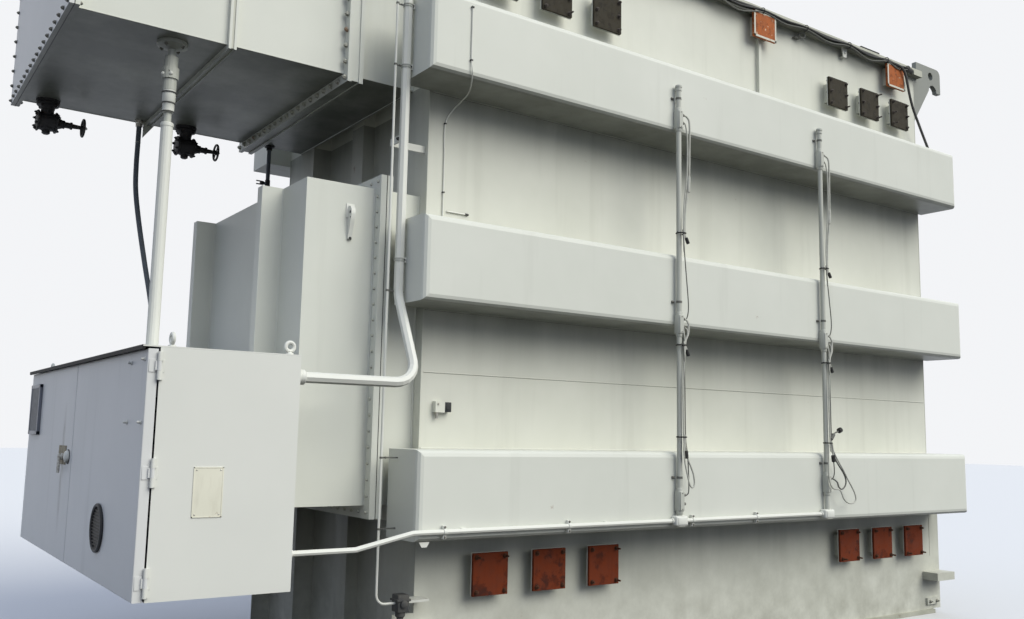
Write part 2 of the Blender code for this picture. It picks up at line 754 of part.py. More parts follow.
def build_side_compartment():
    """Throat on the tank and the compartment bolted to it, with the ribs that carry the cabinet."""
    throat = side_slab("side_throat", GAP, SIDE_JOINT_REACH - GAP, 0)
    flange = side_slab("flange", SIDE_JOINT_REACH - SIDE_FLANGE, SIDE_FLANGE, SIDE_FLANGE_EDGE)
    hang(combine(throat, [flange]), BASE)
    start = SIDE_JOINT_REACH + GAP
    compartment = side_slab("side_compartment", start, SIDE_REACH - start, 0)
    extras = [side_slab("flange", start, SIDE_FLANGE, SIDE_FLANGE_EDGE)]
    face = -HALF_LENGTH - SIDE_REACH
    for side in (-1, 1):
        edges = (side * RIB_PITCH / 2 - RIB_THICKNESS / 2, side * RIB_PITCH / 2 + RIB_THICKNESS / 2)
        extras.append(add_box("rib", (face - RIB_DEPTH, edges[0], SIDE_BOTTOM),
                              (face + OVERRUN, edges[1], SIDE_TOP)))
        rail = add_box("rail", (face - RIB_DEPTH - RAIL_DEPTH, edges[0] - OVERRUN, RAIL_BOTTOM),
                       (face - RAIL_FOOT, edges[1] + OVERRUN, RAIL_TOP))
        extras.append(rail)
    hang(combine(compartment, extras), BASE)


# Control cabinet

def knuckle_levels():
    """Heights of the middle of each door's three hinges."""
    low = CABINET_BOTTOM + HINGE_END
    high = CABINET_TOP - HINGE_END
    return (low, (low + high) / 2, high)


def build_knuckle(side, low, on_door):
    """One hinge knuckle with its tab, for the door or for the cabinet."""
    high = low + KNUCKLE_HEIGHT
    along = side * HINGE_Y
    knuckle = add_rod("knuckle", (HINGE_X, along, low), (HINGE_X, along, high), KNUCKLE_RADIUS, "cabinet_paint")
    half_gap = DOOR_GAP / 2
    if on_door:
        reaches = (HINGE_X - half_gap - KNUCKLE_TAB, HINGE_X - half_gap - KNUCKLE_STANDOFF)
    else:
        reaches = (HINGE_X + half_gap + KNUCKLE_STANDOFF, HINGE_X + half_gap + KNUCKLE_TAB)
    hold = 2 * OVERRUN if on_door else OVERRUN
    edges = sorted((side * (HINGE_Y - KNUCKLE_STANDOFF), side * (CABINET_WIDTH / 2 - hold)))
    tab = add_box("tab", (reaches[0], edges[0], low + KNUCKLE_PLAY), (reaches[1], edges[1], high - KNUCKLE_PLAY),
                  "cabinet_paint")
    return combine(knuckle, [tab])


def build_cabinet_body():
    """Sheet-metal cabinet, open towards -X, with the fixed halves of the hinges."""
    half = CABINET_WIDTH / 2
    body = add_box("cabinet_body", (CABINET_MOUTH, -half, CABINET_BOTTOM), (CABINET_BACK, half, CABINET_TOP),
                   "cabinet_paint")
    sheet = CABINET_SHEET
    inside = add_box("inside", (CABINET_MOUTH - OVERRUN, -half + sheet, CABINET_BOTTOM + sheet),
                     (CABINET_BACK - sheet, half - sheet, CABINET_TOP - sheet))
    combine(body, [inside], "DIFFERENCE")
    knuckles = []
    for side in (-1, 1):
        for level in knuckle_levels():
            knuckles.append(build_knuckle(side, level + KNUCKLE_HEIGHT / 2 + KNUCKLE_PLAY, False))
            knuckles.append(build_knuckle(side, level - 3 * KNUCKLE_HEIGHT / 2 - KNUCKLE_PLAY, False))
    hang(combine(body, knuckles), BASE)


def build_cabinet_roof():
    """Roof sheet that runs out over the doors."""
    low = CABINET_TOP + GAP
    half = CABINET_WIDTH / 2
    hang(add_box("cabinet_roof", (DOOR_OUTER - ROOF_OVERHANG, -half, low), (CABINET_BACK, half, low + ROOF_THICKNESS),
                 "cabinet_paint"), BASE)


def build_door(name, side):
    """One door leaf with its hinge knuckles, on its own axis."""
    axis = add_axis(f"{name}_axis", (HINGE_X, side * HINGE_Y, CABINET_BOTTOM), BASE)
    edges = sorted((side * DOOR_SEAM / 2, side * (CABINET_WIDTH / 2 - OVERRUN)))
    leaf = add_box(name, (DOOR_OUTER, edges[0], CABINET_BOTTOM + OVERRUN),
                   (DOOR_INNER, edges[1], CABINET_TOP - DOOR_GAP), "cabinet_paint")

    def on_outer_face(one, other):
        return one.x < 0 and other.x < 0

    round_edges(leaf, DOOR_EDGE, 2, on_outer_face)
    knuckles = [build_knuckle(side, level - KNUCKLE_HEIGHT / 2, True) for level in knuckle_levels()]
    hang(combine(leaf, knuckles), axis)
    return axis


def build_handle(door_axis):
    """Lever handle on the far leaf, turning on a stem square to the door."""
    along = HANDLE_OFFSET
    level = CABINET_BOTTOM + HANDLE_LEVEL_SHARE * CABINET_HEIGHT
    near = DOOR_OUTER - HANDLE_PLAY
    axis = add_axis("door_handle_axis", (near, along, level), door_axis)
    base = add_rod("door_handle", (near, along, level), (near - HANDLE_BASE_THICKNESS, along, level),
                   HANDLE_BASE_RADIUS, "handle_metal", ROUND_STEPS)
    tip = near - HANDLE_BASE_THICKNESS - HANDLE_STEM_LENGTH
    stem = add_rod("stem", (near - HANDLE_BASE_THICKNESS / 2, along, level), (tip, along, level),
                   HANDLE_STEM_RADIUS, "handle_metal")
    half = HANDLE_LEVER_WIDTH / 2
    lever = add_box("lever", (tip - HANDLE_LEVER_THICKNESS / 2, along - half, level - HANDLE_LEVER_LENGTH),
                    (tip + HANDLE_LEVER_THICKNESS / 2, along + half, level + half), "handle_metal")
    round_edges(lever, HANDLE_LEVER_THICKNESS / 4, 2, lambda one, other: True)
    hang(combine(base, [stem, lever]), axis)


def build_door_fittings(near_axis, far_axis):
    """Window box on the far leaf and round vent on the near leaf."""
    face = DOOR_OUTER - GAP
    far_edge = CABINET_WIDTH / 2 - WINDOW_EDGE
    top = CABINET_TOP - WINDOW_DROP
    hang(add_box("door_window", (face - WINDOW_DEPTH, far_edge - WINDOW_WIDTH, top - WINDOW_HEIGHT),
                 (face, far_edge, top), "window_grey"), far_axis)
    along = -CABINET_WIDTH / 2 + VENT_EDGE
    level = CABINET_BOTTOM + VENT_LEVEL
    hang(add_rod("door_vent", (face, along, level), (face - VENT_THICKNESS, along, level), VENT_RADIUS,
                 "window_grey", ROUND_STEPS), near_axis)


# Pipe from the cabinet's roof to the upper box

def build_turned(name, profile, place, material):
    """Turns a profile of (radius, height) points, given from top to bottom, round Z."""
    shape = bmesh.new()
    knots = [shape.verts.new((radius, 0, height)) for radius, height in profile]
    for one, other in zip(knots, knots[1:]):
        shape.edges.new((one, other))
    mesh = bpy.data.meshes.new(name)
    shape.to_mesh(mesh)
    shape.free()
    piece = add_piece(name, mesh, place, material)
    turn = piece.modifiers.new("turn", "SCREW")
    turn.steps = TUBE_STEPS
    turn.render_steps = TUBE_STEPS
    turn.use_merge_vertices = True
    turn.merge_threshold = 0.0001
    apply_modifiers(piece)
    piece.data.shade_smooth()
    piece.data.set_sharp_from_angle(angle=math.radians(35))
    return piece


def build_pipe():
    """Fat pipe up from the cabinet, and the union with its disc under the upper box."""
    across = CABINET_MOUTH + PIPE_INSET
    low = CABINET_TOP + ROOF_THICKNESS + 2 * GAP
    high = BOX_BOTTOM - GAP
    split = high - PIPE_UNION_LENGTH
    hang(add_rod("supply_pipe", (across, PIPE_Y, low), (across, PIPE_Y, split), PIPE_RADIUS,
                 "conduit_paint", TUBE_STEPS), BASE)
    length = PIPE_UNION_LENGTH - GAP
    disc = length - UNION_DISC_THICKNESS
    _, neck, ring_top, ring_foot, foot = [disc - count * UNION_RING_HEIGHT for count in range(UNION_RINGS + 1)]
    profile = [(0, length), (UNION_DISC_RADIUS, length), (UNION_DISC_RADIUS, disc),
               (PIPE_THIN_RADIUS, disc - UNION_DISC_THICKNESS), (PIPE_THIN_RADIUS, neck),
               (UNION_RADIUS, neck), (UNION_RADIUS, ring_top), (UNION_RING_RADIUS, ring_top),
               (UNION_RING_RADIUS, ring_foot), (UNION_RADIUS, ring_foot), (UNION_RADIUS, foot),
               (PIPE_THIN_RADIUS, foot), (PIPE_THIN_RADIUS, 0), (0, 0)]
    hang(build_turned("supply_union", profile, (across, PIPE_Y, split + GAP), "conduit_paint"), BASE)


# Valves

def build_valve(number, reach):
    """Drain valve under the upper box's back edge, its stem towards +X, and its handwheel."""
    across = -HALF_LENGTH - reach
    along = BOX_WIDTH / 2 - VALVE_EDGE
    top = BOX_BOTTOM - GAP
    middle = top - VALVE_FLANGE_THICKNESS - VALVE_NECK_LENGTH - VALVE_BODY_RADIUS
    flange = add_rod(f"valve_{number}", (across, along, top), (across, along, top - VALVE_FLANGE_THICKNESS),
                     VALVE_FLANGE_RADIUS, "valve_iron")
    neck = add_rod("neck", (across, along, top - VALVE_FLANGE_THICKNESS / 2), (across, along, middle),
                   VALVE_NECK_RADIUS, "valve_iron")
    half = VALVE_BODY_LENGTH / 2
    body = add_rod("body", (across - half, along, middle), (across + half, along, middle),
                   VALVE_BODY_RADIUS, "valve_iron")
    stem_end = across + half + VALVE_BONNET_LENGTH
    bonnet = add_rod("bonnet", (across, along, middle), (stem_end, along, middle), VALVE_BONNET_RADIUS,
                     "valve_iron", end_radius=VALVE_BONNET_RADIUS / 2)
    hang(combine(flange, [neck, body, bonnet]), BASE)
    build_handwheel(number, Vector((stem_end + WHEEL_PLAY, along, middle)))


def build_handwheel(number, place):
    """Handwheel with four spokes, turning on the valve's stem."""
    axis = add_axis(f"handwheel_{number}_axis", place, BASE)
    far = place + Vector((WHEEL_HUB_LENGTH, 0, 0))
    middle = (place + far) / 2
    hub = add_rod(f"handwheel_{number}", place, far, WHEEL_HUB_RADIUS, "valve_iron")
    bpy.ops.mesh.primitive_torus_add(major_segments=24, minor_segments=8, major_radius=WHEEL_RADIUS - WHEEL_RIM,
                                     minor_radius=WHEEL_RIM, location=middle, rotation=(0, math.radians(90), 0))
    rim = bpy.context.active_object
    spokes = []
    for count in range(WHEEL_SPOKES):
        angle = math.tau * (count + 0.5) / WHEEL_SPOKES
        out = Vector((0, math.cos(angle), math.sin(angle)))
        spokes.append(add_rod("spoke", middle, middle + out * (WHEEL_RADIUS - WHEEL_RIM), WHEEL_SPOKE / 2,
                              "valve_iron", 8))
    combine(hub, [*spokes, rim])
    hub.data.materials.clear()
    hub.data.materials.append(MATERIALS["valve_iron"])
    hang(hub, axis)


# Conduits

def conduit_x():
    """Where the main conduit stands, just outside the bands' left ends."""
    return -(HALF_LENGTH + BAND_OVERHANG_LEFT + MAIN_CLEARANCE + MAIN_RADIUS)


def build_main_conduit():
    """Conduit from the cabinet's side, up past the bands' ends and over to the junction box."""
    across = conduit_x()
    level = CABINET_TOP - MAIN_EXIT_DROP
    front = -CABINET_WIDTH / 2 + MAIN_EXIT_INSET
    back = FRONT_FACE - MAIN_SETBACK
    top = TANK_HEIGHT + COVER_THICKNESS + JUNCTION_HEIGHT / 2
    box_x = -HALF_LENGTH + JUNCTION_INSET + JUNCTION_LENGTH / 2
    box_y = FRONT_FACE + JUNCTION_INSET / 2
    corners = [(CABINET_BACK + GAP, front, level), (across, front, level),
               (across, back, MAIN_SWAN_LEVEL), (across, back, top),
               (box_x, back, top), (box_x, box_y - GAP, top)]
    route = add_tube("conduit_main", bent_route(corners, MAIN_BEND), MAIN_RADIUS, "conduit_paint")
    conduit = as_mesh(route)
    end_face = -(HALF_LENGTH + BAND_OVERHANG_LEFT + GAP)
    holders = []
    for level in (UPPER_BAND_LEVEL - CLIP_SPREAD, UPPER_BAND_LEVEL + CLIP_SPREAD, MIDDLE_BAND_LEVEL):
        holders.append(add_box("clip", (across, back - MAIN_RADIUS / 2, level - CLIP_WIDTH / 2),
                               (end_face, back + MAIN_RADIUS / 2, level + CLIP_WIDTH / 2)))
    bar_y = FRONT_FACE + WALL + BAR_INSET
    low, high = BAR_LEVEL - BAR_HEIGHT / 2, BAR_LEVEL + BAR_HEIGHT / 2
    holders.append(add_box("bar", (across - BAR_THICKNESS / 2, back, low),
                           (across + BAR_THICKNESS / 2, bar_y - BAR_THICKNESS / 2, high)))
    holders.append(add_box("bar", (across - BAR_THICKNESS / 2, bar_y - BAR_THICKNESS, low),
                           (-HALF_LENGTH - GAP, bar_y, high)))
    hang(combine(conduit, holders), BASE)
    junction = add_box("junction_box", (box_x - JUNCTION_LENGTH / 2, box_y, TANK_HEIGHT + COVER_THICKNESS + GAP),
                       (box_x + JUNCTION_LENGTH / 2, box_y + JUNCTION_WIDTH,
                        TANK_HEIGHT + COVER_THICKNESS + GAP + JUNCTION_HEIGHT), "conduit_paint")
    hang(junction, BASE)


def low_conduit_y():
    """Where the low conduit runs, just in front of the bands."""
    return -(BAND_FACE + GAP + CLIP_THICKNESS + LOW_RADIUS)


def low_conduit_level():
    """Height of the low conduit on the lower band."""
    return LOWER_BAND_LEVEL - BAND_HEIGHT / 2 + LOW_LEVEL_RISE


def foot_box(across):
    """Box fitting on the low conduit, on which a riser stands."""
    level = low_conduit_level()
    near = -(BAND_FACE + GAP)
    half = RISER_FITTING_WIDTH / 2
    return add_box("foot", (across - half, near - RISER_FITTING_DEPTH, level - RISER_FOOT_HEIGHT / 2),
                   (across + half, near, level + RISER_FOOT_HEIGHT / 2), "conduit_paint")


def build_low_conduit():
    """Small conduit from the cabinet's side along the lower band, with the risers' two foot boxes."""
    along = low_conduit_y()
    low = CABINET_BOTTOM + LOW_EXIT_RISE
    high = low_conduit_level()
    band_end = -(HALF_LENGTH + BAND_OVERHANG_LEFT)
    corners = [(CABINET_BACK + GAP, along, low), ((CABINET_BACK + band_end) / 2, along, low),
               (band_end - CLIP_REACH, along, high), (RISER_RIGHT, along, high)]
    conduit = as_mesh(add_tube("conduit_low", bent_route(corners, LOW_BEND), LOW_RADIUS, "conduit_paint"))
    face = -(BAND_FACE + GAP)
    pieces = [foot_box(RISER_LEFT), foot_box(RISER_RIGHT)]
    for share in LOW_CLIP_SHARES:
        across = band_end + share * (RISER_RIGHT - band_end)
        pieces.append(add_box("clip", (across, along, high - CLIP_REACH / 2),
                              (across + CLIP_WIDTH, face, high + CLIP_REACH / 2), "conduit_paint"))
    hang(combine(conduit, pieces), BASE)


def riser_y():
    """Where the risers stand, in front of the bands."""
    return -(BAND_FACE + RISER_CLEARANCE + RISER_RADIUS)


def fitting_tops():
    """Heights of the tops of a riser's three fittings, from the upper one down."""
    return (UPPER_BAND_LEVEL - FITTING_UPPER_DROP, MIDDLE_BAND_LEVEL - FITTING_MIDDLE_DROP,
            LOWER_BAND_LEVEL + FITTING_LOWER_RISE)


def build_riser(name, across):
    """Upright conduit across all three bands, with a fitting and a clip above it on each band."""
    along = riser_y()
    low = low_conduit_level() + RISER_FOOT_HEIGHT / 2 + GAP
    riser = add_rod(name, (across, along, low), (across, along, UPPER_BAND_LEVEL + RISER_TOP_RISE),
                    RISER_RADIUS, "conduit_paint")
    pieces = []
    half, depth = RISER_FITTING_WIDTH / 2, RISER_FITTING_DEPTH / 2
    face = -(BAND_FACE + GAP)
    for top in fitting_tops():
        pieces.append(add_box("fitting", (across - half, along - depth, top - RISER_FITTING_HEIGHT),
                              (across + half, face, top), "conduit_paint"))
        clip_low = top + FITTING_CLIP_RISE
        pieces.append(add_box("clip", (across - half, along, clip_low),
                              (across + half, face, clip_low + CLIP_WIDTH), "conduit_paint"))
    hang(combine(riser, pieces), BASE)


def build_leads():
    """One thin lead down beside each riser, the right one with its tied-up spare loop."""
    front = riser_y() - RISER_FITTING_DEPTH / 2 + LEAD_RADIUS
    start_level = fitting_tops()[0] - RISER_FITTING_HEIGHT / 2
    out = RISER_FITTING_WIDTH / 2
    level = low_conduit_level() + RISER_FOOT_HEIGHT + LEAD_END_RISE
    for name, across, looped in (("lead_left", RISER_LEFT, False), ("lead_right", RISER_RIGHT, True)):
        near = across + out + LEAD_SPACING
        corners = [(across + out + GAP, front, start_level), (near, front, start_level)]
        if looped:
            far = near + LEAD_LOOP_WIDTH
            bottom = level + LEAD_LOOP_DROP / 4
            corners += [(near, front, bottom + LEAD_LOOP_DROP), (far, front, bottom + LEAD_LOOP_DROP / 2),
                        (far, front, bottom), (near, front, bottom - LEAD_LOOP_WIDTH / 2)]
        corners.append((near, front, level - LEAD_END_RISE))
        lead = add_tube(name, bent_route(corners, LEAD_BEND, LEAD_BEND_STEPS), LEAD_RADIUS, "dark_hose")
        hang(as_mesh(lead), BASE)


def build_thin_conduit():
    """Thin conduit beside the main one, from the junction box down to a socket on a small shelf."""
    across = conduit_x() - MAIN_RADIUS - THIN_SPACING
    back = FRONT_FACE - MAIN_SETBACK
    top = TANK_HEIGHT + COVER_THICKNESS + JUNCTION_HEIGHT / 2 + THIN_RISE
    box_x = -HALF_LENGTH + JUNCTION_INSET + THIN_SPACING
    box_y = FRONT_FACE + JUNCTION_INSET / 2
    socket_x = -HALF_LENGTH - SOCKET_REACH
    corners = [(box_x, box_y - GAP, top), (box_x, back, top), (across, back, top),
               (across, back, SOCKET_LEVEL), (socket_x, back, SOCKET_LEVEL)]
    conduit = as_mesh(add_tube("conduit_thin", bent_route(corners, THIN_BEND), THIN_RADIUS, "conduit_paint"))
    half_width, half_height = SOCKET_WIDTH / 2, SOCKET_HEIGHT / 2
    socket = add_box("socket", (socket_x - half_width, back - SOCKET_DEPTH / 2, SOCKET_LEVEL - half_height),
                     (socket_x + half_width, back + SOCKET_DEPTH / 2, SOCKET_LEVEL + half_height))
    shelf = add_box("shelf", (socket_x, back, SOCKET_LEVEL - SOCKET_SHELF / 2),
                    (-HALF_LENGTH + SOCKET_SHELF_HOLD, FRONT_FACE - GAP, SOCKET_LEVEL + SOCKET_SHELF / 2))
    hang(combine(conduit, [socket, shelf]), BASE)


def build_flexible_conduit():
    """Dark hose from the upper box's underside down to the cabinet's roof."""
    roof = CABINET_TOP + ROOF_THICKNESS + 2 * GAP
    corners = [(FLEX_UPPER_X, FLEX_Y, BOX_BOTTOM - GAP), (FLEX_UPPER_X, FLEX_Y, BOX_BOTTOM - FLEX_STRAIGHT),
               (FLEX_LOWER_X, FLEX_Y, roof + FLEX_LANDING), (FLEX_LOWER_X, FLEX_Y, roof)]
    hose = as_mesh(add_tube("flexible_conduit", bent_route(corners, FLEX_BEND), FLEX_RADIUS, "dark_hose"))
    hang(hose, BASE)


def build_drain_stub():
    """Small pipe with a side spur under the inner section of the upper box."""
    across = -HALF_LENGTH - DRAIN_REACH
    top = BOX_BOTTOM - GAP
    pipe = add_rod("drain_stub", (across, FLEX_Y, top), (across, FLEX_Y, top - DRAIN_LENGTH), DRAIN_RADIUS,
                   "valve_iron")
    spur_level = top - DRAIN_LENGTH + 2 * DRAIN_RADIUS
    spur = add_rod("spur", (across, FLEX_Y, spur_level), (across - DRAIN_SPUR, FLEX_Y, spur_level),
                   DRAIN_SPUR_RADIUS, "valve_iron")
    hang(combine(pipe, [spur]), BASE)


def build_edge_cable():
    """Cable from the junction box along the cover's rim, its tail down to the upper band's top."""
    start_x = -HALF_LENGTH + JUNCTION_INSET + JUNCTION_LENGTH + GAP
    level = TANK_HEIGHT + EDGE_CABLE_RADIUS
    above = TANK_HEIGHT + COVER_THICKNESS + EDGE_CABLE_EXIT
    along = FRONT_FACE - COVER_RIM - EDGE_CABLE_RADIUS - GAP
    box_y = FRONT_FACE + (JUNCTION_INSET + JUNCTION_WIDTH) / 2
    run_x = start_x + EDGE_CABLE_RUN
    tail_y = FRONT_FACE - PORT_STANDOFF - PORT_PLATE - 2 * EDGE_CABLE_RADIUS
    band_top = UPPER_BAND_LEVEL + BAND_HEIGHT / 2
    landing_y = FRONT_FACE - EDGE_CABLE_LANDING_SHARE * BAND_DEPTH
    corners = [(start_x, box_y, above), (run_x, box_y, above), (run_x, along, above), (run_x, along, level),
               (EDGE_CABLE_LEAVE, along, level), (EDGE_CABLE_KNEE, tail_y, TANK_HEIGHT - EDGE_CABLE_KNEE_DROP),
               (EDGE_CABLE_LANDING, landing_y, band_top + EDGE_CABLE_RADIUS + GAP)]
    cable = as_mesh(add_tube("edge_cable", bent_route(corners, EDGE_CABLE_BEND), EDGE_CABLE_RADIUS, "dark_hose"))
    hang(cable, BASE)


def build_transformer():
    """Builds every piece."""
    build_floor()
    for name, side in (("front_wall", -1), ("back_wall", 1)):
        build_long_wall(name, side)
    for name, end in (("end_wall_left", -1), ("end_wall_right", 1)):
        build_end_wall(name, end)
    build_cover()
    build_core()
    for face, side in (("front", -1), ("back", 1)):
        for row, level in (("lower", LOWER_BAND_LEVEL), ("middle", MIDDLE_BAND_LEVEL),
                           ("upper", UPPER_BAND_LEVEL)):
            build_band(f"{face}_band_{row}", side, level)
        for hand, end in (("left", -1), ("right", 1)):
            build_lug(f"lifting_lug_{face}_{hand}", end, side)
    build_upper_box()
    build_side_compartment()
    build_cabinet_body()
    build_cabinet_roof()
    near_axis = build_door("door_near", -1)
    far_axis = build_door("door_far", 1)
    build_handle(far_axis)
    build_door_fittings(near_axis, far_axis)
    build_pipe()
    build_valve(1, BOX_REACH - VALVE_FIRST_INSET)
    build_valve(2, BOX_REACH - VALVE_FIRST_INSET - VALVE_PITCH)
    build_main_conduit()
    build_low_conduit()
    build_riser("riser_left", RISER_LEFT)
    build_riser("riser_right", RISER_RIGHT)
    build_leads()
    build_thin_conduit()
    build_flexible_conduit()
    build_drain_stub()
    build_edge_cable()


build_transformer()
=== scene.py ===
"""Looks of a power transformer without its radiators and bushings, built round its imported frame.

Metres, +Z up, in the frame's own axes: the origin is the middle of the tank's underside, the long
front faces -Y and the control cabinet is on the -X end.
"""
from __future__ import annotations

import json
import logging
import math
import random
from collections.abc import Sequence
from dataclasses import dataclass, replace
from enum import Enum
from functools import reduce

import bmesh
import bpy
from mathutils import Matrix, Vector

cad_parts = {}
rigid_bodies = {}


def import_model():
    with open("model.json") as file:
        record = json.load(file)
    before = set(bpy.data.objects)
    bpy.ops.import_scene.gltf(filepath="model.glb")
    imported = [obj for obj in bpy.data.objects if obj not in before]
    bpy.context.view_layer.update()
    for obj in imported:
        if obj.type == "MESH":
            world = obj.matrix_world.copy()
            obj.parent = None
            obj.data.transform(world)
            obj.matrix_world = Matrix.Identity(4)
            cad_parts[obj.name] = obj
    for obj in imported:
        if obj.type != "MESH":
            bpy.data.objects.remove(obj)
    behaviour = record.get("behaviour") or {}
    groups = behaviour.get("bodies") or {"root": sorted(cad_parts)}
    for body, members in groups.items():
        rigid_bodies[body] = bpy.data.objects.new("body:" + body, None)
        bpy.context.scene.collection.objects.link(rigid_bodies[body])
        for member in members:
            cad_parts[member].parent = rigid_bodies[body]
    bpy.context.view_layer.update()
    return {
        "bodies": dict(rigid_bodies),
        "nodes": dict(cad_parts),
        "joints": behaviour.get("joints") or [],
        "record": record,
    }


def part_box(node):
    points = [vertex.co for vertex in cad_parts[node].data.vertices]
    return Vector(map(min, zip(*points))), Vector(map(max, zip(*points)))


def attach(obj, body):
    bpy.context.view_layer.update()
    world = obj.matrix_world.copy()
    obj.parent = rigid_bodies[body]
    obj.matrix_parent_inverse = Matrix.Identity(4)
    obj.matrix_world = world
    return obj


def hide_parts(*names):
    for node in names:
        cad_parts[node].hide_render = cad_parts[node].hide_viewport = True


LOG = logging.getLogger("transformer")
SEED = 4
SHARP_ANGLE = math.radians(38)
LEFT, RIGHT = Vector((-1, 0, 0)), Vector((1, 0, 0))
FRONT, UP, DOWN = Vector((0, -1, 0)), Vector((0, 0, 1)), Vector((0, 0, -1))
BAND_ROWS = ("lower", "middle", "upper")

Point = Sequence[float]
Socket = bpy.types.NodeSocket
Colour = tuple[int, int, int]


def linear(colour: Colour) -> tuple[float, float, float, float]:
    """Turns a screen colour into the linear one that shaders take.

    Args:
        colour: Red, green and blue from 0 to 255.

    Returns:
        Red, green, blue and alpha from 0 to 1.
    """
    shares = [value / 255 for value in colour]
    curve = [share / 12.92 if share <= 0.04045 else ((share + 0.055) / 1.055) ** 2.4 for share in shares]
    return (*curve, 1.0)


def smooth_route(knots: Sequence[Point], steps: int = 6) -> list[Vector]:
    """Runs one smooth curve through a few points.

    Args:
        knots: Points that the curve passes.
        steps: Pieces between two points.

    Returns:
        The points of the curve.
    """
    line = [Vector(knot) for knot in knots]
    line = [2 * line[0] - line[1], *line, 2 * line[-1] - line[-2]]
    route = []
    for before, start, end, after in zip(line, line[1:], line[2:], line[3:]):
        for step in range(steps):
            part = step / steps
            pull = (end - before) * part
            bend = (2 * before - 5 * start + 4 * end - after) * part ** 2
            twist = (3 * start - before - 3 * end + after) * part ** 3
            route.append((2 * start + pull + bend + twist) / 2)
    return [*route, line[-2]]


def border(start: Point, end: Point, wide: float) -> list[tuple[Point, Point]]:
    """Splits the border of a flat rectangle into four strips.

    Args:
        start: Lowest corner of the rectangle, in its own plane.
        end: Highest corner.
        wide: Width of the strips, inward.

    Returns:
        Both corners of each strip.
    """
    (left, foot), (right, top) = start, end
    return [((left, foot), (right, foot + wide)), ((left, top - wide), (right, top)),
            ((left, foot), (left + wide, top)), ((right - wide, foot), (right, top))]


class Effect(Enum):
    """Shader node groups that several finishes share."""

    STREAKS = "rain_streaks"
    RUST = "rust_patches"
    SKIN = "paint_skin"
    GRIME = "settled_grime"
    RUN = "run_stain"
    UNDERSIDE = "underside_shade_and_grime"
    LEDGE = "shade_and_grime_below_ledge"


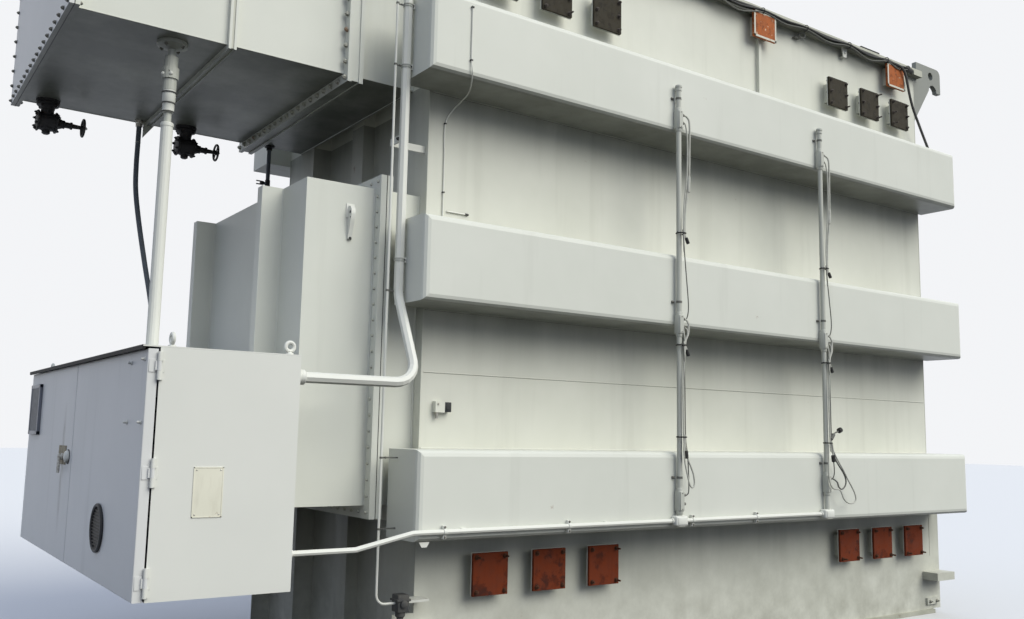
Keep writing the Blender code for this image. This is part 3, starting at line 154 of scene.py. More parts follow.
class Graph:
    """Short calls for adding and joining the nodes of one tree."""

    def __init__(self, tree: bpy.types.NodeTree) -> None:
        """Keeps the tree."""
        self.tree = tree

    def node(self, kind: str, **settings: object) -> bpy.types.Node:
        """Adds a node.

        Args:
            kind: Blender's name of the node's type.
            **settings: Properties of the node.

        Returns:
            The node.
        """
        made = self.tree.nodes.new(kind)
        for name, value in settings.items():
            setattr(made, name, value)
        return made

    def feed(self, socket: Socket, value: object) -> None:
        """Joins a socket to an output, or gives it a constant.

        Args:
            socket: The input.
            value: An output socket, a number, a colour or a vector.
        """
        if isinstance(value, bpy.types.NodeSocket):
            self.tree.links.new(value, socket)
        else:
            socket.default_value = value

    def maths(self, operation: str, one: object, other: object = 0.0) -> Socket:
        """Adds a maths node.

        Args:
            operation: Blender's name of the operation.
            one: First value or socket.
            other: Second value or socket.

        Returns:
            The result's socket.
        """
        made = self.node("ShaderNodeMath", operation=operation)
        self.feed(made.inputs[0], one)
        self.feed(made.inputs[1], other)
        return made.outputs[0]

    def product(self, *values: object) -> Socket:
        """Multiplies numbers."""
        return reduce(lambda one, other: self.maths("MULTIPLY", one, other), values)

    def axes(self, place: object) -> bpy.types.bpy_prop_collection:
        """Splits a vector and returns its X, Y and Z."""
        made = self.node("ShaderNodeSeparateXYZ")
        self.feed(made.inputs[0], place)
        return made.outputs

    def scaled(self, place: object, factors: Sequence[object]) -> Socket:
        """Multiplies a place by one factor for each axis.

        Args:
            place: The place's socket.
            factors: Three values or sockets.

        Returns:
            The scaled place's socket.
        """
        joined = self.node("ShaderNodeCombineXYZ")
        for socket, factor in zip(joined.inputs, factors):
            self.feed(socket, factor)
        made = self.node("ShaderNodeVectorMath", operation="MULTIPLY")
        self.feed(made.inputs[0], place)
        self.feed(made.inputs[1], joined.outputs[0])
        return made.outputs[0]

    def noise(self, place: object, scale: object, detail: float = 3.0,
              roughness: float = 0.55) -> Socket:
        """Adds cloudy noise.

        Args:
            place: The place's socket.
            scale: Spots in a metre.
            detail: Octaves.
            roughness: Weight of the finer octaves.

        Returns:
            The noise's value socket.
        """
        made = self.node("ShaderNodeTexNoise")
        settings = {"Vector": place, "Scale": scale, "Detail": detail, "Roughness": roughness}
        for name, value in settings.items():
            self.feed(made.inputs[name], value)
        return made.outputs["Fac"]

    def remap(self, value: object, low: object, high: object, start: float = 0.0,
              end: float = 1.0) -> Socket:
        """Stretches a range of values and clamps it.

        Args:
            value: The value's socket.
            low: Value that becomes start.
            high: Value that becomes end.
            start: Result at low.
            end: Result at high.

        Returns:
            The result's socket.
        """
        made = self.node("ShaderNodeMapRange")
        settings = {"Value": value, "From Min": low, "From Max": high, "To Min": start, "To Max": end}
        for name, wanted in settings.items():
            self.feed(made.inputs[name], wanted)
        return made.outputs["Result"]

    def blend(self, share: object, one: object, other: object) -> Socket:
        """Mixes two colours.

        Args:
            share: Share of the second colour.
            one: First colour or socket.
            other: Second colour or socket.

        Returns:
            The mixed colour's socket.
        """
        made = self.node("ShaderNodeMix", data_type="RGBA")
        self.feed(made.inputs[0], share)
        self.feed(made.inputs[6], one)
        self.feed(made.inputs[7], other)
        return made.outputs[2]

    def layer(self, colour: object, mask: object, strength: float, over: Colour) -> Socket:
        """Lays a screen colour over another one where a mask says.

        Args:
            colour: The colour below.
            mask: Where the upper colour lies.
            strength: How much it hides where the mask is 1.
            over: The upper colour.

        Returns:
            The mixed colour's socket.
        """
        return self.blend(self.product(mask, strength), colour, linear(over))

    def mask(self, effect: Effect, **values: object) -> Socket:
        """Places a shared node group and returns its mask."""
        return self.effect(effect, **values).outputs["Mask"]

    def grain(self, shader: object, place: object, grain: float, depth: float, wave: float) -> None:
        """Gives a shader the fine grain and waves of the shared skin.

        Args:
            shader: The shader's inputs.
            place: The place's socket.
            grain: Grains in a metre.
            depth: Their depth.
            wave: Depth of the sheet's waves.
        """
        skin = self.effect(Effect.SKIN, Place=place, Grain=grain, Depth=depth, Wave=wave)
        self.feed(shader["Normal"], skin.outputs["Normal"])

    def effect(self, effect: Effect, **values: object) -> bpy.types.Node:
        """Places a shared node group.

        Args:
            effect: Which group.
            **values: Its inputs by name.

        Returns:
            The group's node.
        """
        made = self.node("ShaderNodeGroup", node_tree=bpy.data.node_groups[effect.value])
        for name, value in values.items():
            self.feed(made.inputs[name], value)
        return made


MASK = {"Mask": "NodeSocketFloat"}


class EffectLibrary:
    """Builds the shader node groups once."""

    def build(self) -> None:
        """Makes every group."""
        for make in (self.streaks, self.rust, self.skin, self.grime, self.run, self.underside, self.ledge):
            make()

    def start(self, effect: Effect, inputs: dict[str, float],
              outputs: dict[str, str] = MASK) -> tuple[Graph, dict, bpy.types.Node]:
        """Opens a new group that takes a place and some numbers.

        Args:
            effect: Which group.
            inputs: Its number inputs and their defaults.
            outputs: Its outputs and their socket types.

        Returns:
            The group's graph, its inputs by name and its output node.
        """
        tree = bpy.data.node_groups.new(effect.value, "ShaderNodeTree")
        tree.interface.new_socket("Place", in_out="INPUT", socket_type="NodeSocketVector")
        for name, default in inputs.items():
            made = tree.interface.new_socket(name, in_out="INPUT", socket_type="NodeSocketFloat")
            made.default_value = default
        for name, kind in outputs.items():
            tree.interface.new_socket(name, in_out="OUTPUT", socket_type=kind)
        graph = Graph(tree)
        entry = graph.node("NodeGroupInput")
        return graph, {socket.name: socket for socket in entry.outputs}, graph.node("NodeGroupOutput")

    def cover_mask(self, graph: Graph, noise: object, cover: object, softness: float) -> Socket:
        """Cuts noise off so that it covers a wanted share.

        Args:
            graph: The group's graph.
            noise: The noise's socket.
            cover: Share to cover, from 0 to 1.
            softness: Width of the soft edge.

        Returns:
            The mask's socket.
        """
        edge = graph.maths("SUBTRACT", 0.74, graph.product(cover, 0.48))
        return graph.remap(noise, edge, graph.maths("ADD", edge, softness))

    def streaks(self) -> None:
        """Thin runs that rain leaves down a wall."""
        graph, given, out = self.start(Effect.STREAKS, {"Across": 9.0, "Along": 0.6, "Cover": 0.4})
        place = graph.scaled(given["Place"], (given["Across"], given["Across"], given["Along"]))
        mask = self.cover_mask(graph, graph.noise(place, 1.0, 4.0, 0.6), given["Cover"], 0.46)
        graph.feed(out.inputs["Mask"], mask)

    def rust(self) -> None:
        """Patches of rust with their own change of tone."""
        graph, given, out = self.start(Effect.RUST, {"Size": 14.0, "Cover": 0.5},
                                       {**MASK, "Tone": "NodeSocketFloat"})
        patches = graph.noise(given["Place"], given["Size"], 9.0, 0.68)
        graph.feed(out.inputs["Mask"], self.cover_mask(graph, patches, given["Cover"], 0.06))
        tone = graph.noise(given["Place"], graph.product(given["Size"], 2.7), 6.0, 0.6)
        graph.feed(out.inputs["Tone"], graph.remap(tone, 0.35, 0.66))

    def skin(self) -> None:
        """Fine grain of paint over slightly wavy sheet."""
        graph, given, out = self.start(Effect.SKIN, {"Grain": 260.0, "Depth": 0.0002, "Wave": 0.004},
                                       {"Normal": "NodeSocketVector"})
        wave, grain = graph.node("ShaderNodeBump"), graph.node("ShaderNodeBump")
        for bump, noise, distance in ((wave, graph.noise(given["Place"], 1.7, 1.0), "Wave"),
                                      (grain, graph.noise(given["Place"], given["Grain"], 2.0), "Depth")):
            graph.feed(bump.inputs["Height"], noise)
            graph.feed(bump.inputs["Distance"], given[distance])
        graph.feed(grain.inputs["Normal"], wave.outputs["Normal"])
        graph.feed(out.inputs["Normal"], grain.outputs["Normal"])

    def grime(self) -> None:
        """Dirt that gathers below a height and thins out above it."""
        graph, given, out = self.start(Effect.GRIME, {"Level": 0.1, "Spread": 0.5})
        top = graph.maths("ADD", given["Level"], given["Spread"])
        fade = graph.remap(graph.axes(given["Place"])["Z"], top, given["Level"])
        cloud = graph.remap(graph.noise(given["Place"], 5.0, 5.0, 0.65), 0.3, 0.65)
        graph.feed(out.inputs["Mask"], graph.product(fade, cloud))

    def run(self) -> None:
        """One narrow dirty run down a door that faces -X."""
        graph, given, out = self.start(Effect.RUN, {"Middle": 0.0, "Top": 1.0, "Foot": 0.5, "Width": 0.03})
        axes = graph.axes(given["Place"])
        off = graph.maths("ABSOLUTE", graph.maths("SUBTRACT", axes["Y"], given["Middle"]))
        across = graph.remap(off, given["Width"], 0.0)
        below = graph.remap(axes["Z"], given["Top"], graph.maths("SUBTRACT", given["Top"], 0.15))
        above = graph.remap(axes["Z"], given["Foot"], graph.maths("ADD", given["Foot"], 0.25))
        cloud = graph.remap(graph.noise(graph.scaled(given["Place"], (40.0, 40.0, 6.0)), 1.0, 4.0), 0.3, 0.6)
        graph.feed(out.inputs["Mask"], graph.product(across, below, above, cloud))

    def underside(self) -> None:
        """Painted shade on faces that look down, darker the more they face the floor, with some real dirt
        and algae mixed in.
        """
        graph, given, out = self.start(Effect.UNDERSIDE, {"Amount": 0.7})
        normal = graph.node("ShaderNodeNewGeometry").outputs["Normal"]
        facing = graph.remap(graph.axes(normal)["Z"], -0.2, -0.9)
        cloud = graph.remap(graph.noise(given["Place"], 2.5, 4.0, 0.6), 0.25, 0.6, 0.75, 1.0)
        graph.feed(out.inputs["Mask"], graph.product(facing, cloud, given["Amount"]))

    def ledge(self) -> None:
        """Painted shade under a ledge, with streaky real dirt in it, that thins out downward from the ledge.
        """
        graph, given, out = self.start(Effect.LEDGE, {"Level": 1.0, "Depth": 0.6})
        height = graph.axes(given["Place"])["Z"]
        foot = graph.maths("SUBTRACT", given["Level"], given["Depth"])
        fade = graph.maths("POWER", graph.remap(height, foot, given["Level"]), 1.6)
        under = graph.maths("LESS_THAN", height, graph.maths("ADD", given["Level"], 0.05))
        streaky = graph.noise(graph.scaled(given["Place"], (5.0, 5.0, 0.8)), 1.0, 4.0, 0.6)
        cloud = graph.remap(streaky, 0.25, 0.65, 0.6, 1.0)
        graph.feed(out.inputs["Mask"], graph.product(fade, under, cloud))


@dataclass(frozen=True)
class Finish:
    """A surface: its name, the record's slot, its colour and its shine."""

    name: str
    slot: str
    colour: Colour
    roughness: float = 0.5
    metallic: float = 0.0
    shine: float = 0.26

    def material(self) -> bpy.types.Material:
        """Returns the finish's material, which is made on the first call."""
        found = bpy.data.materials.get(self.name)
        if found is not None:
            return found
        made = bpy.data.materials.new(self.name)
        made.use_nodes = True
        graph = Graph(made.node_tree)
        shader = made.node_tree.nodes["Principled BSDF"]
        shader.inputs["Metallic"].default_value = self.metallic
        shader.inputs["Specular IOR Level"].default_value = self.shine
        place = graph.node("ShaderNodeTexCoord").outputs["Object"]
        self.wire(graph, shader.inputs, place)
        return made

    def wire(self, graph: Graph, shader: object, place: object) -> None:
        """Joins the finish's nodes to the shader.

        Args:
            graph: The material's graph.
            shader: The Principled shader's inputs.
            place: Socket of the place in the object's own axes.
        """
        raise NotImplementedError


@dataclass(frozen=True)
class PaintedSteel(Finish):
    """Outdoor enamel with tone changes, rain streaks, settled dirt, rust specks and fine grain, and painted
    shade with some grime below ledges and on faces that look down.
    """

    dirt: Colour = (118, 116, 100)
    tone: float = 0.5
    streaks: float = 0.32
    streak_across: float = 8.0
    streak_along: float = 0.5
    grime_level: float = -0.2
    grime_spread: float = 0.9
    grime: float = 0.5
    specks: float = 0.1
    wave: float = 0.003
    run: tuple[float, float, float, float] | None = None
    # Strength of the darkening on faces that look down: painted shade, with some real grime.
    under: float = 0.8
    under_shade_and_dirt: Colour = (66, 68, 60)
    # Heights and depths of ledges whose shade is painted onto the wall below them, with some streaky dirt.
    ledges: tuple[tuple[float, float], ...] = ()
    ledge_shade_and_dirt: Colour = (76, 80, 72)

    def wire(self, graph: Graph, shader: object, place: object) -> None:
        """Layers the dirt, rust and the painted shade below ledges and under down-facing faces over the
        paint.
        """
        red, green, blue = self.colour
        darker = linear((int(red * 0.93), int(green * 0.935), int(blue * 0.93)))
        cloud = graph.remap(graph.noise(place, 1.1, 4.0, 0.6), 0.32, 0.7, 0.0, self.tone)
        colour = graph.blend(cloud, linear(self.colour), darker)
        streak = graph.mask(Effect.STREAKS, Place=place, Across=self.streak_across, Along=self.streak_along,
                            Cover=self.streaks)
        colour = graph.layer(colour, streak, 0.22, self.dirt)
        grime = graph.mask(Effect.GRIME, Place=place, Level=self.grime_level, Spread=self.grime_spread)
        settled = graph.product(grime, self.grime)
        colour = graph.blend(settled, colour, linear(self.dirt))
        if self.run is not None:
            middle, top, foot, width = self.run
            stain = graph.mask(Effect.RUN, Place=place, Middle=middle, Top=top, Foot=foot, Width=width)
            colour = graph.layer(colour, stain, 0.75, (112, 104, 96))
        # Painted shade below each ledge, with some streaky dirt.
        for level, depth in self.ledges:
            ledge = graph.mask(Effect.LEDGE, Place=place, Level=level, Depth=depth)
            colour = graph.layer(colour, ledge, 0.6, self.ledge_shade_and_dirt)
        # Down-facing faces are darkened: painted shade, with some real grime.
        under = graph.mask(Effect.UNDERSIDE, Place=place, Amount=self.under)
        colour = graph.blend(under, colour, linear(self.under_shade_and_dirt))
        rust = graph.mask(Effect.RUST, Place=place, Size=5.0, Cover=self.specks)
        graph.feed(shader["Base Color"], graph.layer(colour, rust, 0.7, (126, 84, 52)))
        dull = graph.product(graph.maths("ADD", streak, settled), 0.16)
        graph.feed(shader["Roughness"], graph.maths("ADD", dull, self.roughness))
        graph.grain(shader, place, 320.0, 0.00012, self.wave)


@dataclass(frozen=True)
class RustyPlate(Finish):
    """Steel plate that has rusted through most or all of its paint."""

    dark: Colour = (70, 34, 20)
    paint: Colour = (206, 204, 192)
    paint_left: float = 0.0
    size: float = 16.0

    def wire(self, graph: Graph, shader: object, place: object) -> None:
        """Mixes two rusts and what is left of the paint."""
        rust = graph.effect(Effect.RUST, Place=place, Size=self.size, Cover=0.45)
        colour = graph.blend(rust.outputs["Mask"], linear(self.colour), linear(self.dark))
        lighter = tuple(min(255, int(value * 1.18)) for value in self.colour)
        colour = graph.layer(colour, rust.outputs["Tone"], 0.55, lighter)
        run = graph.mask(Effect.STREAKS, Place=place, Across=42.0, Along=5.0, Cover=0.5)
        colour = graph.layer(colour, run, 0.4, self.dark)
        if self.paint_left > 0:
            flakes = graph.mask(Effect.RUST, Place=place, Size=self.size * 1.6, Cover=self.paint_left)
            colour = graph.blend(flakes, colour, linear(self.paint))
        graph.feed(shader["Base Color"], colour)
        rough = graph.remap(rust.outputs["Tone"], 0.0, 1.0, self.roughness, self.roughness + 0.18)
        graph.feed(shader["Roughness"], rough)
        graph.grain(shader, place, 420.0, 0.0012, 0.001)


@dataclass(frozen=True)
class CastIron(Finish):
    """Coarse casting under worn matt paint."""

    worn: Colour = (84, 62, 48)

    def wire(self, graph: Graph, shader: object, place: object) -> None:
        """Breaks the black paint with rust and sand grain."""
        rust = graph.effect(Effect.RUST, Place=place, Size=34.0, Cover=0.28)
        colour = graph.blend(rust.outputs["Mask"], linear(self.colour), linear(self.worn))
        graph.feed(shader["Base Color"], colour)
        rough = graph.remap(rust.outputs["Tone"], 0.0, 1.0, self.roughness - 0.08, self.roughness + 0.15)
        graph.feed(shader["Roughness"], rough)
        graph.grain(shader, place, 300.0, 0.0016, 0.0)


@dataclass(frozen=True)
class BareMetal(Finish):
    """Zinc or steel that has dulled out of doors."""

    def wire(self, graph: Graph, shader: object, place: object) -> None:
        """Lays blotches over the metal."""
        blotch = graph.remap(graph.noise(place, 60.0, 5.0, 0.7), 0.35, 0.7)
        graph.feed(shader["Base Color"], graph.blend(blotch, linear(self.colour), linear((122, 112, 100))))
        graph.feed(shader["Roughness"], graph.maths("ADD", graph.product(blotch, 0.25), self.roughness))
        graph.grain(shader, place, 500.0, 0.0003, 0.0)


@dataclass(frozen=True)
class Sheath(Finish):
    """Rubber or plastic sheathing with dust on it."""

    dust: Colour = (128, 124, 114)
    dusting: float = 0.25

    def wire(self, graph: Graph, shader: object, place: object) -> None:
        """Dusts the sheath unevenly."""
        cloud = graph.remap(graph.noise(place, 26.0, 5.0, 0.65), 0.38, 0.72, 0.0, self.dusting)
        graph.feed(shader["Base Color"], graph.blend(cloud, linear(self.colour), linear(self.dust)))
        graph.feed(shader["Roughness"], graph.maths("ADD", cloud, self.roughness))
        skin = graph.effect(Effect.SKIN, Place=place, Grain=700.0, Depth=0.0002, Wave=0.0)
        graph.feed(shader["Normal"], skin.outputs["Normal"])


TANK_PAINT = PaintedSteel("tank_enamel", "tank_paint", (213, 214, 205), 0.42)
# The wall's ledges paint the shade under the three bands and under the cover's rim, with some streaky dirt.
WALL_PAINT = PaintedSteel(
    "wall_enamel", "tank_paint", (212, 212, 201), 0.46, streaks=0.44, tone=0.8, grime_level=0.0,
                          grime_spread=0.8,
    grime=0.5, ledges=((0.813, 0.5), (2.04, 0.42), (3.29, 0.4), (4.5, 0.16)))
BOX_PAINT = PaintedSteel(
    "box_enamel", "tank_paint", (211, 212, 203), 0.42, specks=0.06, streaks=0.25, under=0.96)
UNDER_PAINT = PaintedSteel("grimy_enamel", "tank_paint", (188, 188, 174), 0.55, streaks=0.6, specks=0.3)
LUG_PAINT = PaintedSteel("lug_enamel", "tank_paint", (138, 140, 134), 0.5, streaks=0.5, specks=0.25)
DOOR_PAINT = PaintedSteel(
    "door_enamel", "cabinet_paint", (214, 214, 212), 0.42, streaks=0.28, specks=0.05, wave=0.005)
STAINED_DOOR = replace(DOOR_PAINT, name="stained_door_enamel", run=(0.245, 1.5, 0.75, 0.045))
CABINET_PAINT = PaintedSteel(
    "cabinet_enamel", "cabinet_paint", (217, 217, 210), 0.38, streaks=0.2, specks=0.04, tone=0.4, under=0.8)
CONDUIT_PAINT = PaintedSteel(
    "conduit_enamel", "conduit_paint", (220, 220, 212), 0.42, streaks=0.15, specks=0.12, streak_across=30.0,
    wave=0.0, under=0.5)
RISER_PAINT = PaintedSteel(
    "riser_enamel", "conduit_paint", (186, 187, 178), 0.45, streaks=0.3, specks=0.15, streak_across=30.0,
    wave=0.0, under=0.6)
RED_RUST = RustyPlate("red_rust", "tank_paint", (106, 46, 22), 0.78, dark=(62, 25, 13), size=7.0)
BROWN_RUST = RustyPlate("brown_rust", "tank_paint", (50, 46, 37), 0.75, dark=(32, 29, 24), size=18.0)
FLAKED_EDGE = RustyPlate(
    "flaked_edge", "tank_paint", (196, 184, 160), 0.6, dark=(132, 100, 70), paint_left=0.74, size=30.0)
MOTTLED_PAD = RustyPlate(
    "mottled_pad", "tank_paint", (158, 88, 46), 0.7, dark=(104, 58, 32), paint=(216, 204, 178),
                         paint_left=0.3,
    size=19.0)
RUSTY_BOLT = RustyPlate("rusty_bolt", "tank_paint", (84, 52, 36), 0.7, dark=(44, 30, 24), size=60.0)
DARK_BOLT = RustyPlate("dark_bolt", "tank_paint", (70, 64, 60), 0.6, dark=(36, 33, 32), size=60.0)
GREY_BOLT = PaintedSteel("grey_bolt_enamel", "tank_paint", (126, 124, 116), 0.5, specks=0.12, wave=0.0)
PAINTED_BOLT = PaintedSteel("bolt_enamel", "tank_paint", (188, 187, 175), 0.5, specks=0.4, wave=0.0)
SEALANT = PaintedSteel("sealant_line", "tank_paint", (196, 196, 184), 0.6, specks=0.0, wave=0.0)
AGED_PLATE = PaintedSteel(
    "aged_plate", "cabinet_paint", (226, 223, 206), 0.5, dirt=(132, 120, 96), streaks=0.55,
                          streak_across=34.0,
    streak_along=8.0, specks=0.35, tone=1.0, wave=0.0)
BLACK_IRON = CastIron("black_cast_iron", "valve_iron", (30, 29, 30), 0.55)
CORE_STEEL = CastIron("core_steel_finish", "core_steel", (112, 96, 80), 0.6)
ZINC = BareMetal("dull_zinc", "handle_metal", (176, 176, 170), 0.36, 0.85)
PALE_GRIP = BareMetal("pale_grip", "handle_metal", (214, 214, 208), 0.42, 0.1)
HANDLE_RUST = RustyPlate("handle_rust", "handle_metal", (150, 142, 122), 0.6, dark=(98, 84, 62), size=26.0)
# Near black: paints the shadow under the cabinet roof's overhang, and colours a real dark bar on the cover.
BLACK_STRIP_AND_SHADOW = Sheath("black_strip_and_painted_shadow", "dark_hose", (15, 15, 17), 0.7, dusting=0.05)
# Dark green-black: paints the shade under the cover's rim, over a dirty gasket line.
RIM_GASKET_AND_SHADE = Sheath("rim_gasket_and_shade", "dark_hose", (42, 48, 43), 0.7, dusting=0.2)
BLACK_RUBBER = Sheath("black_rubber", "dark_hose", (27, 27, 29), 0.55, dusting=0.12)
GREY_HOSE = Sheath("grey_hose", "dark_hose", (92, 99, 108), 0.5, dusting=0.22)
PALE_CABLE = Sheath("pale_cable", "dark_hose", (186, 186, 177), 0.5, dusting=0.35)
GREY_CABLE = Sheath("grey_cable", "dark_hose", (100, 101, 97), 0.55, dusting=0.35)
DARK_CABLE = Sheath("dark_cable", "dark_hose", (60, 61, 62), 0.55, dusting=0.3)
GLAND_GREY = Sheath("gland_grey", "dark_hose", (104, 104, 98), 0.5, dusting=0.3)
WINDOW_GREY = Sheath("window_satin", "window_grey", (118, 122, 131), 0.3, dusting=0.12)
VENT_DARK = Sheath("vent_dark", "window_grey", (34, 37, 41), 0.5, dusting=0.12)
RELAY_GREY = Sheath("relay_grey", "cabinet_paint", (96, 98, 102), 0.5, dusting=0.2)


class Shape:
    """One mesh put together from solids that are placed in the row's frame."""

    def __init__(self) -> None:
        """Starts an empty mesh."""
        self.form = bmesh.new()

    def box(self, low: Point, high: Point, edge: float = 0.0, steps: int = 2) -> Shape:
        """Adds a box between two opposite corners.

        Args:
            low: One corner.
            high: The other corner.
            edge: Radius of its edges.
            steps: Faces across a rounded edge.

        Returns:
            The shape itself.
        """
        low, high = (Vector([choose(pair) for pair in zip(low, high)]) for choose in (min, max))
        made = bmesh.ops.create_cube(self.form, size=1.0)["verts"]
        bmesh.ops.scale(self.form, vec=high - low, verts=made)
        bmesh.ops.translate(self.form, vec=(low + high) / 2, verts=made)
        if edge > 0:
            edges = list({line for corner in made for line in corner.link_edges})
            bmesh.ops.bevel(self.form, geom=edges, offset=edge, segments=steps, profile=0.5, affect="EDGES",
                            clamp_overlap=True)
        return self

    def skin(self, rings: Sequence[Sequence[bmesh.types.BMVert]]) -> None:
        """Joins neighbouring rings of corners with faces."""
        for lower, upper in zip(rings, rings[1:]):
            for place in range(len(lower)):
                after = (place + 1) % len(lower)
                self.form.faces.new((lower[place], lower[after], upper[after], upper[place]))

    def closed(self, rings: Sequence[Sequence[bmesh.types.BMVert]]) -> Shape:
        """Joins neighbouring rings of corners and closes both ends."""
        self.skin(rings)
        self.form.faces.new(list(reversed(rings[0])))
        self.form.faces.new(rings[-1])
        return self

    def ring(self, centre: Vector, across: Vector, up: Vector, radius: float, steps: int,
             turn: float = 0.0) -> list[bmesh.types.BMVert]:
        """Adds a ring of corners.

        Args:
            centre: Its middle.
            across: First direction in its plane.
            up: Second direction in its plane.
            radius: Its radius.
            steps: How many corners.
            turn: Angle of the first corner.

        Returns:
            The corners.
        """
        angles = [turn + math.tau * step / steps for step in range(steps)]
        return [self.form.verts.new(centre + (across * math.cos(angle) + up * math.sin(angle)) * radius)
                for angle in angles]

    def turned(self, start: Point, ahead: Point, profile: Sequence[tuple[float, float]], steps: int = 16,
               turn: float = 0.0) -> Shape:
        """Adds a turned solid with flat ends.

        Args:
            start: Where its axis starts.
            ahead: Direction of its axis.
            profile: Radius and distance along the axis, from the start on.
            steps: Faces round it.
            turn: Angle of the first corner.

        Returns:
            The shape itself.
        """
        ahead = Vector(ahead).normalized()
        across = ahead.orthogonal().normalized()
        up = ahead.cross(across)
        return self.closed([self.ring(Vector(start) + ahead * far, across, up, radius, steps, turn)
                            for radius, far in profile])

    def rod(self, start: Point, end: Point, radius: float, steps: int = 16, edge: float = 0.0) -> Shape:
        """Adds a round rod.

        Args:
            start: Middle of one end.
            end: Middle of the other end.
            radius: Its radius.
            steps: Faces round it.
            edge: Chamfer at both ends.

        Returns:
            The shape itself.
        """
        run = Vector(end) - Vector(start)
        long = run.length
        profile = [(radius, 0.0), (radius, long)]
        if edge > 0:
            profile = [(radius - edge, 0.0), (radius, edge), (radius, long - edge), (radius - edge, long)]
        return self.turned(start, run, profile, steps)

    def tube(self, route: Sequence[Point], radius: float, sides: int = 10) -> Shape:
        """Adds a tube with closed ends along a line of points.

        Args:
            route: Its points.
            radius: Its radius.
            sides: Faces round it.

        Returns:
            The shape itself.
        """
        route = [Vector(point) for point in route]
        across = (route[1] - route[0]).orthogonal().normalized()
        rings = []
        for place, point in enumerate(route):
            ahead = (route[min(place + 1, len(route) - 1)] - route[max(place - 1, 0)]).normalized()
            across = (across - ahead * across.dot(ahead)).normalized()
            rings.append(self.ring(point, across, ahead.cross(across), radius, sides))
        return self.closed(rings)

    def loop(self, centre: Point, axis: Point, radius: float, thickness: float, steps: int = 20,
             sides: int = 8) -> Shape:
        """Adds a round ring of wire.

        Args:
            centre: Its middle.
            axis: Direction that it is square to.
            radius: Radius of the wire's middle.
            thickness: Radius of the wire.
            steps: Pieces round the ring.
            sides: Faces round the wire.

        Returns:
            The shape itself.
        """
        axis = Vector(axis).normalized()
        across = axis.orthogonal().normalized()
        up = axis.cross(across)
        rings = []
        for step in range(steps):
            angle = math.tau * step / steps
            out = across * math.cos(angle) + up * math.sin(angle)
            rings.append(self.ring(Vector(centre) + out * radius, out, axis, thickness, sides))
        self.skin([*rings, rings[0]])
        return self

    def slab(self, outline: Sequence[Point], depth: Point) -> Shape:
        """Adds a flat plate.

        Args:
            outline: Corners of one face.
            depth: From that face to the other one.

        Returns:
            The shape itself.
        """
        return self.closed([[self.form.verts.new(Vector(corner) + Vector(depth) * share)
                             for corner in outline]
                            for share in (0.0, 1.0)])

    def bolt(self, place: Point, outward: Point, size: float, stud: float, turn: float = 0.0) -> Shape:
        """Adds a washer, a hexagon nut and the end of a stud on a face.

        Args:
            place: Middle of the washer, on the face.
            outward: Direction away from the face.
            size: Half the nut's width over its corners.
            stud: How far the stud stands out of the nut.
            turn: Angle of the nut.

        Returns:
            The shape itself.
        """
        washer, top = size * 0.2, size * 1.15
        self.turned(place, outward, ((size * 1.2, 0.0), (size * 1.2, washer)), 12)
        self.turned(place, outward, ((size * 0.97, washer * 0.9), (size, washer * 1.6), (size, top * 0.88),
                                     (size * 0.86, top)), 6, turn)
        if stud > 0:
            self.turned(place, outward, ((size * 0.5, top * 0.9), (size * 0.5, top + stud * 0.85),
                                         (size * 0.38, top + stud)), 8)
        return self

    def piece(self, name: str, finish: Finish, body: str = "tank",
              replaces: Sequence[str] = ()) -> bpy.types.Object:
        """Closes the mesh and makes it a piece of the object.

        Args:
            name: The piece's name.
            finish: Its surface.
            body: CAD body that it rides on.
            replaces: CAD nodes that it stands for.

        Returns:
            The piece.
        """
        bmesh.ops.recalc_face_normals(self.form, faces=self.form.faces)
        mesh = bpy.data.meshes.new(name)
        self.form.to_mesh(mesh)
        self.form.free()
        mesh.shade_smooth()
        mesh.set_sharp_from_angle(angle=SHARP_ANGLE)
        mesh.materials.append(finish.material())
        made = bpy.data.objects.new(name, mesh)
        bpy.context.scene.collection.objects.link(made)
        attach(made, body)
        if replaces:
            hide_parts(*replaces)
        LOG.info("%s: %d faces", name, len(mesh.polygons))
        return made


def paint_nodes(frame: dict, finish: Finish, *names: str) -> None:
    """Gives CAD nodes a finish.

    Args:
        finish: Their surface.
        *names: The nodes' names.
    """
    for name in names:
        for slot in frame["nodes"][name].material_slots:
            slot.material = finish.material()


def bolt_row(shape: Shape, start: Point, end: Point, pitch: float, outward: Point, size: float,
             chance: random.Random, stud: float) -> None:
    """Adds a straight row of bolts.

    Args:
        shape: The shape that takes them.
        start: Place of the first bolt.
        end: Place of the last bolt.
        pitch: Wanted distance between two bolts.
        outward: Direction away from the face.
        size: Half the nuts' width.
        chance: Source of the nuts' angles.
        stud: How far the studs stand out.
    """
    start, end = Vector(start), Vector(end)
    count = max(1, round((end - start).length / pitch))
    for step in range(count + 1):
        shape.bolt(start.lerp(end, step / count), outward, size, stud, chance.uniform(0, math.pi / 3))


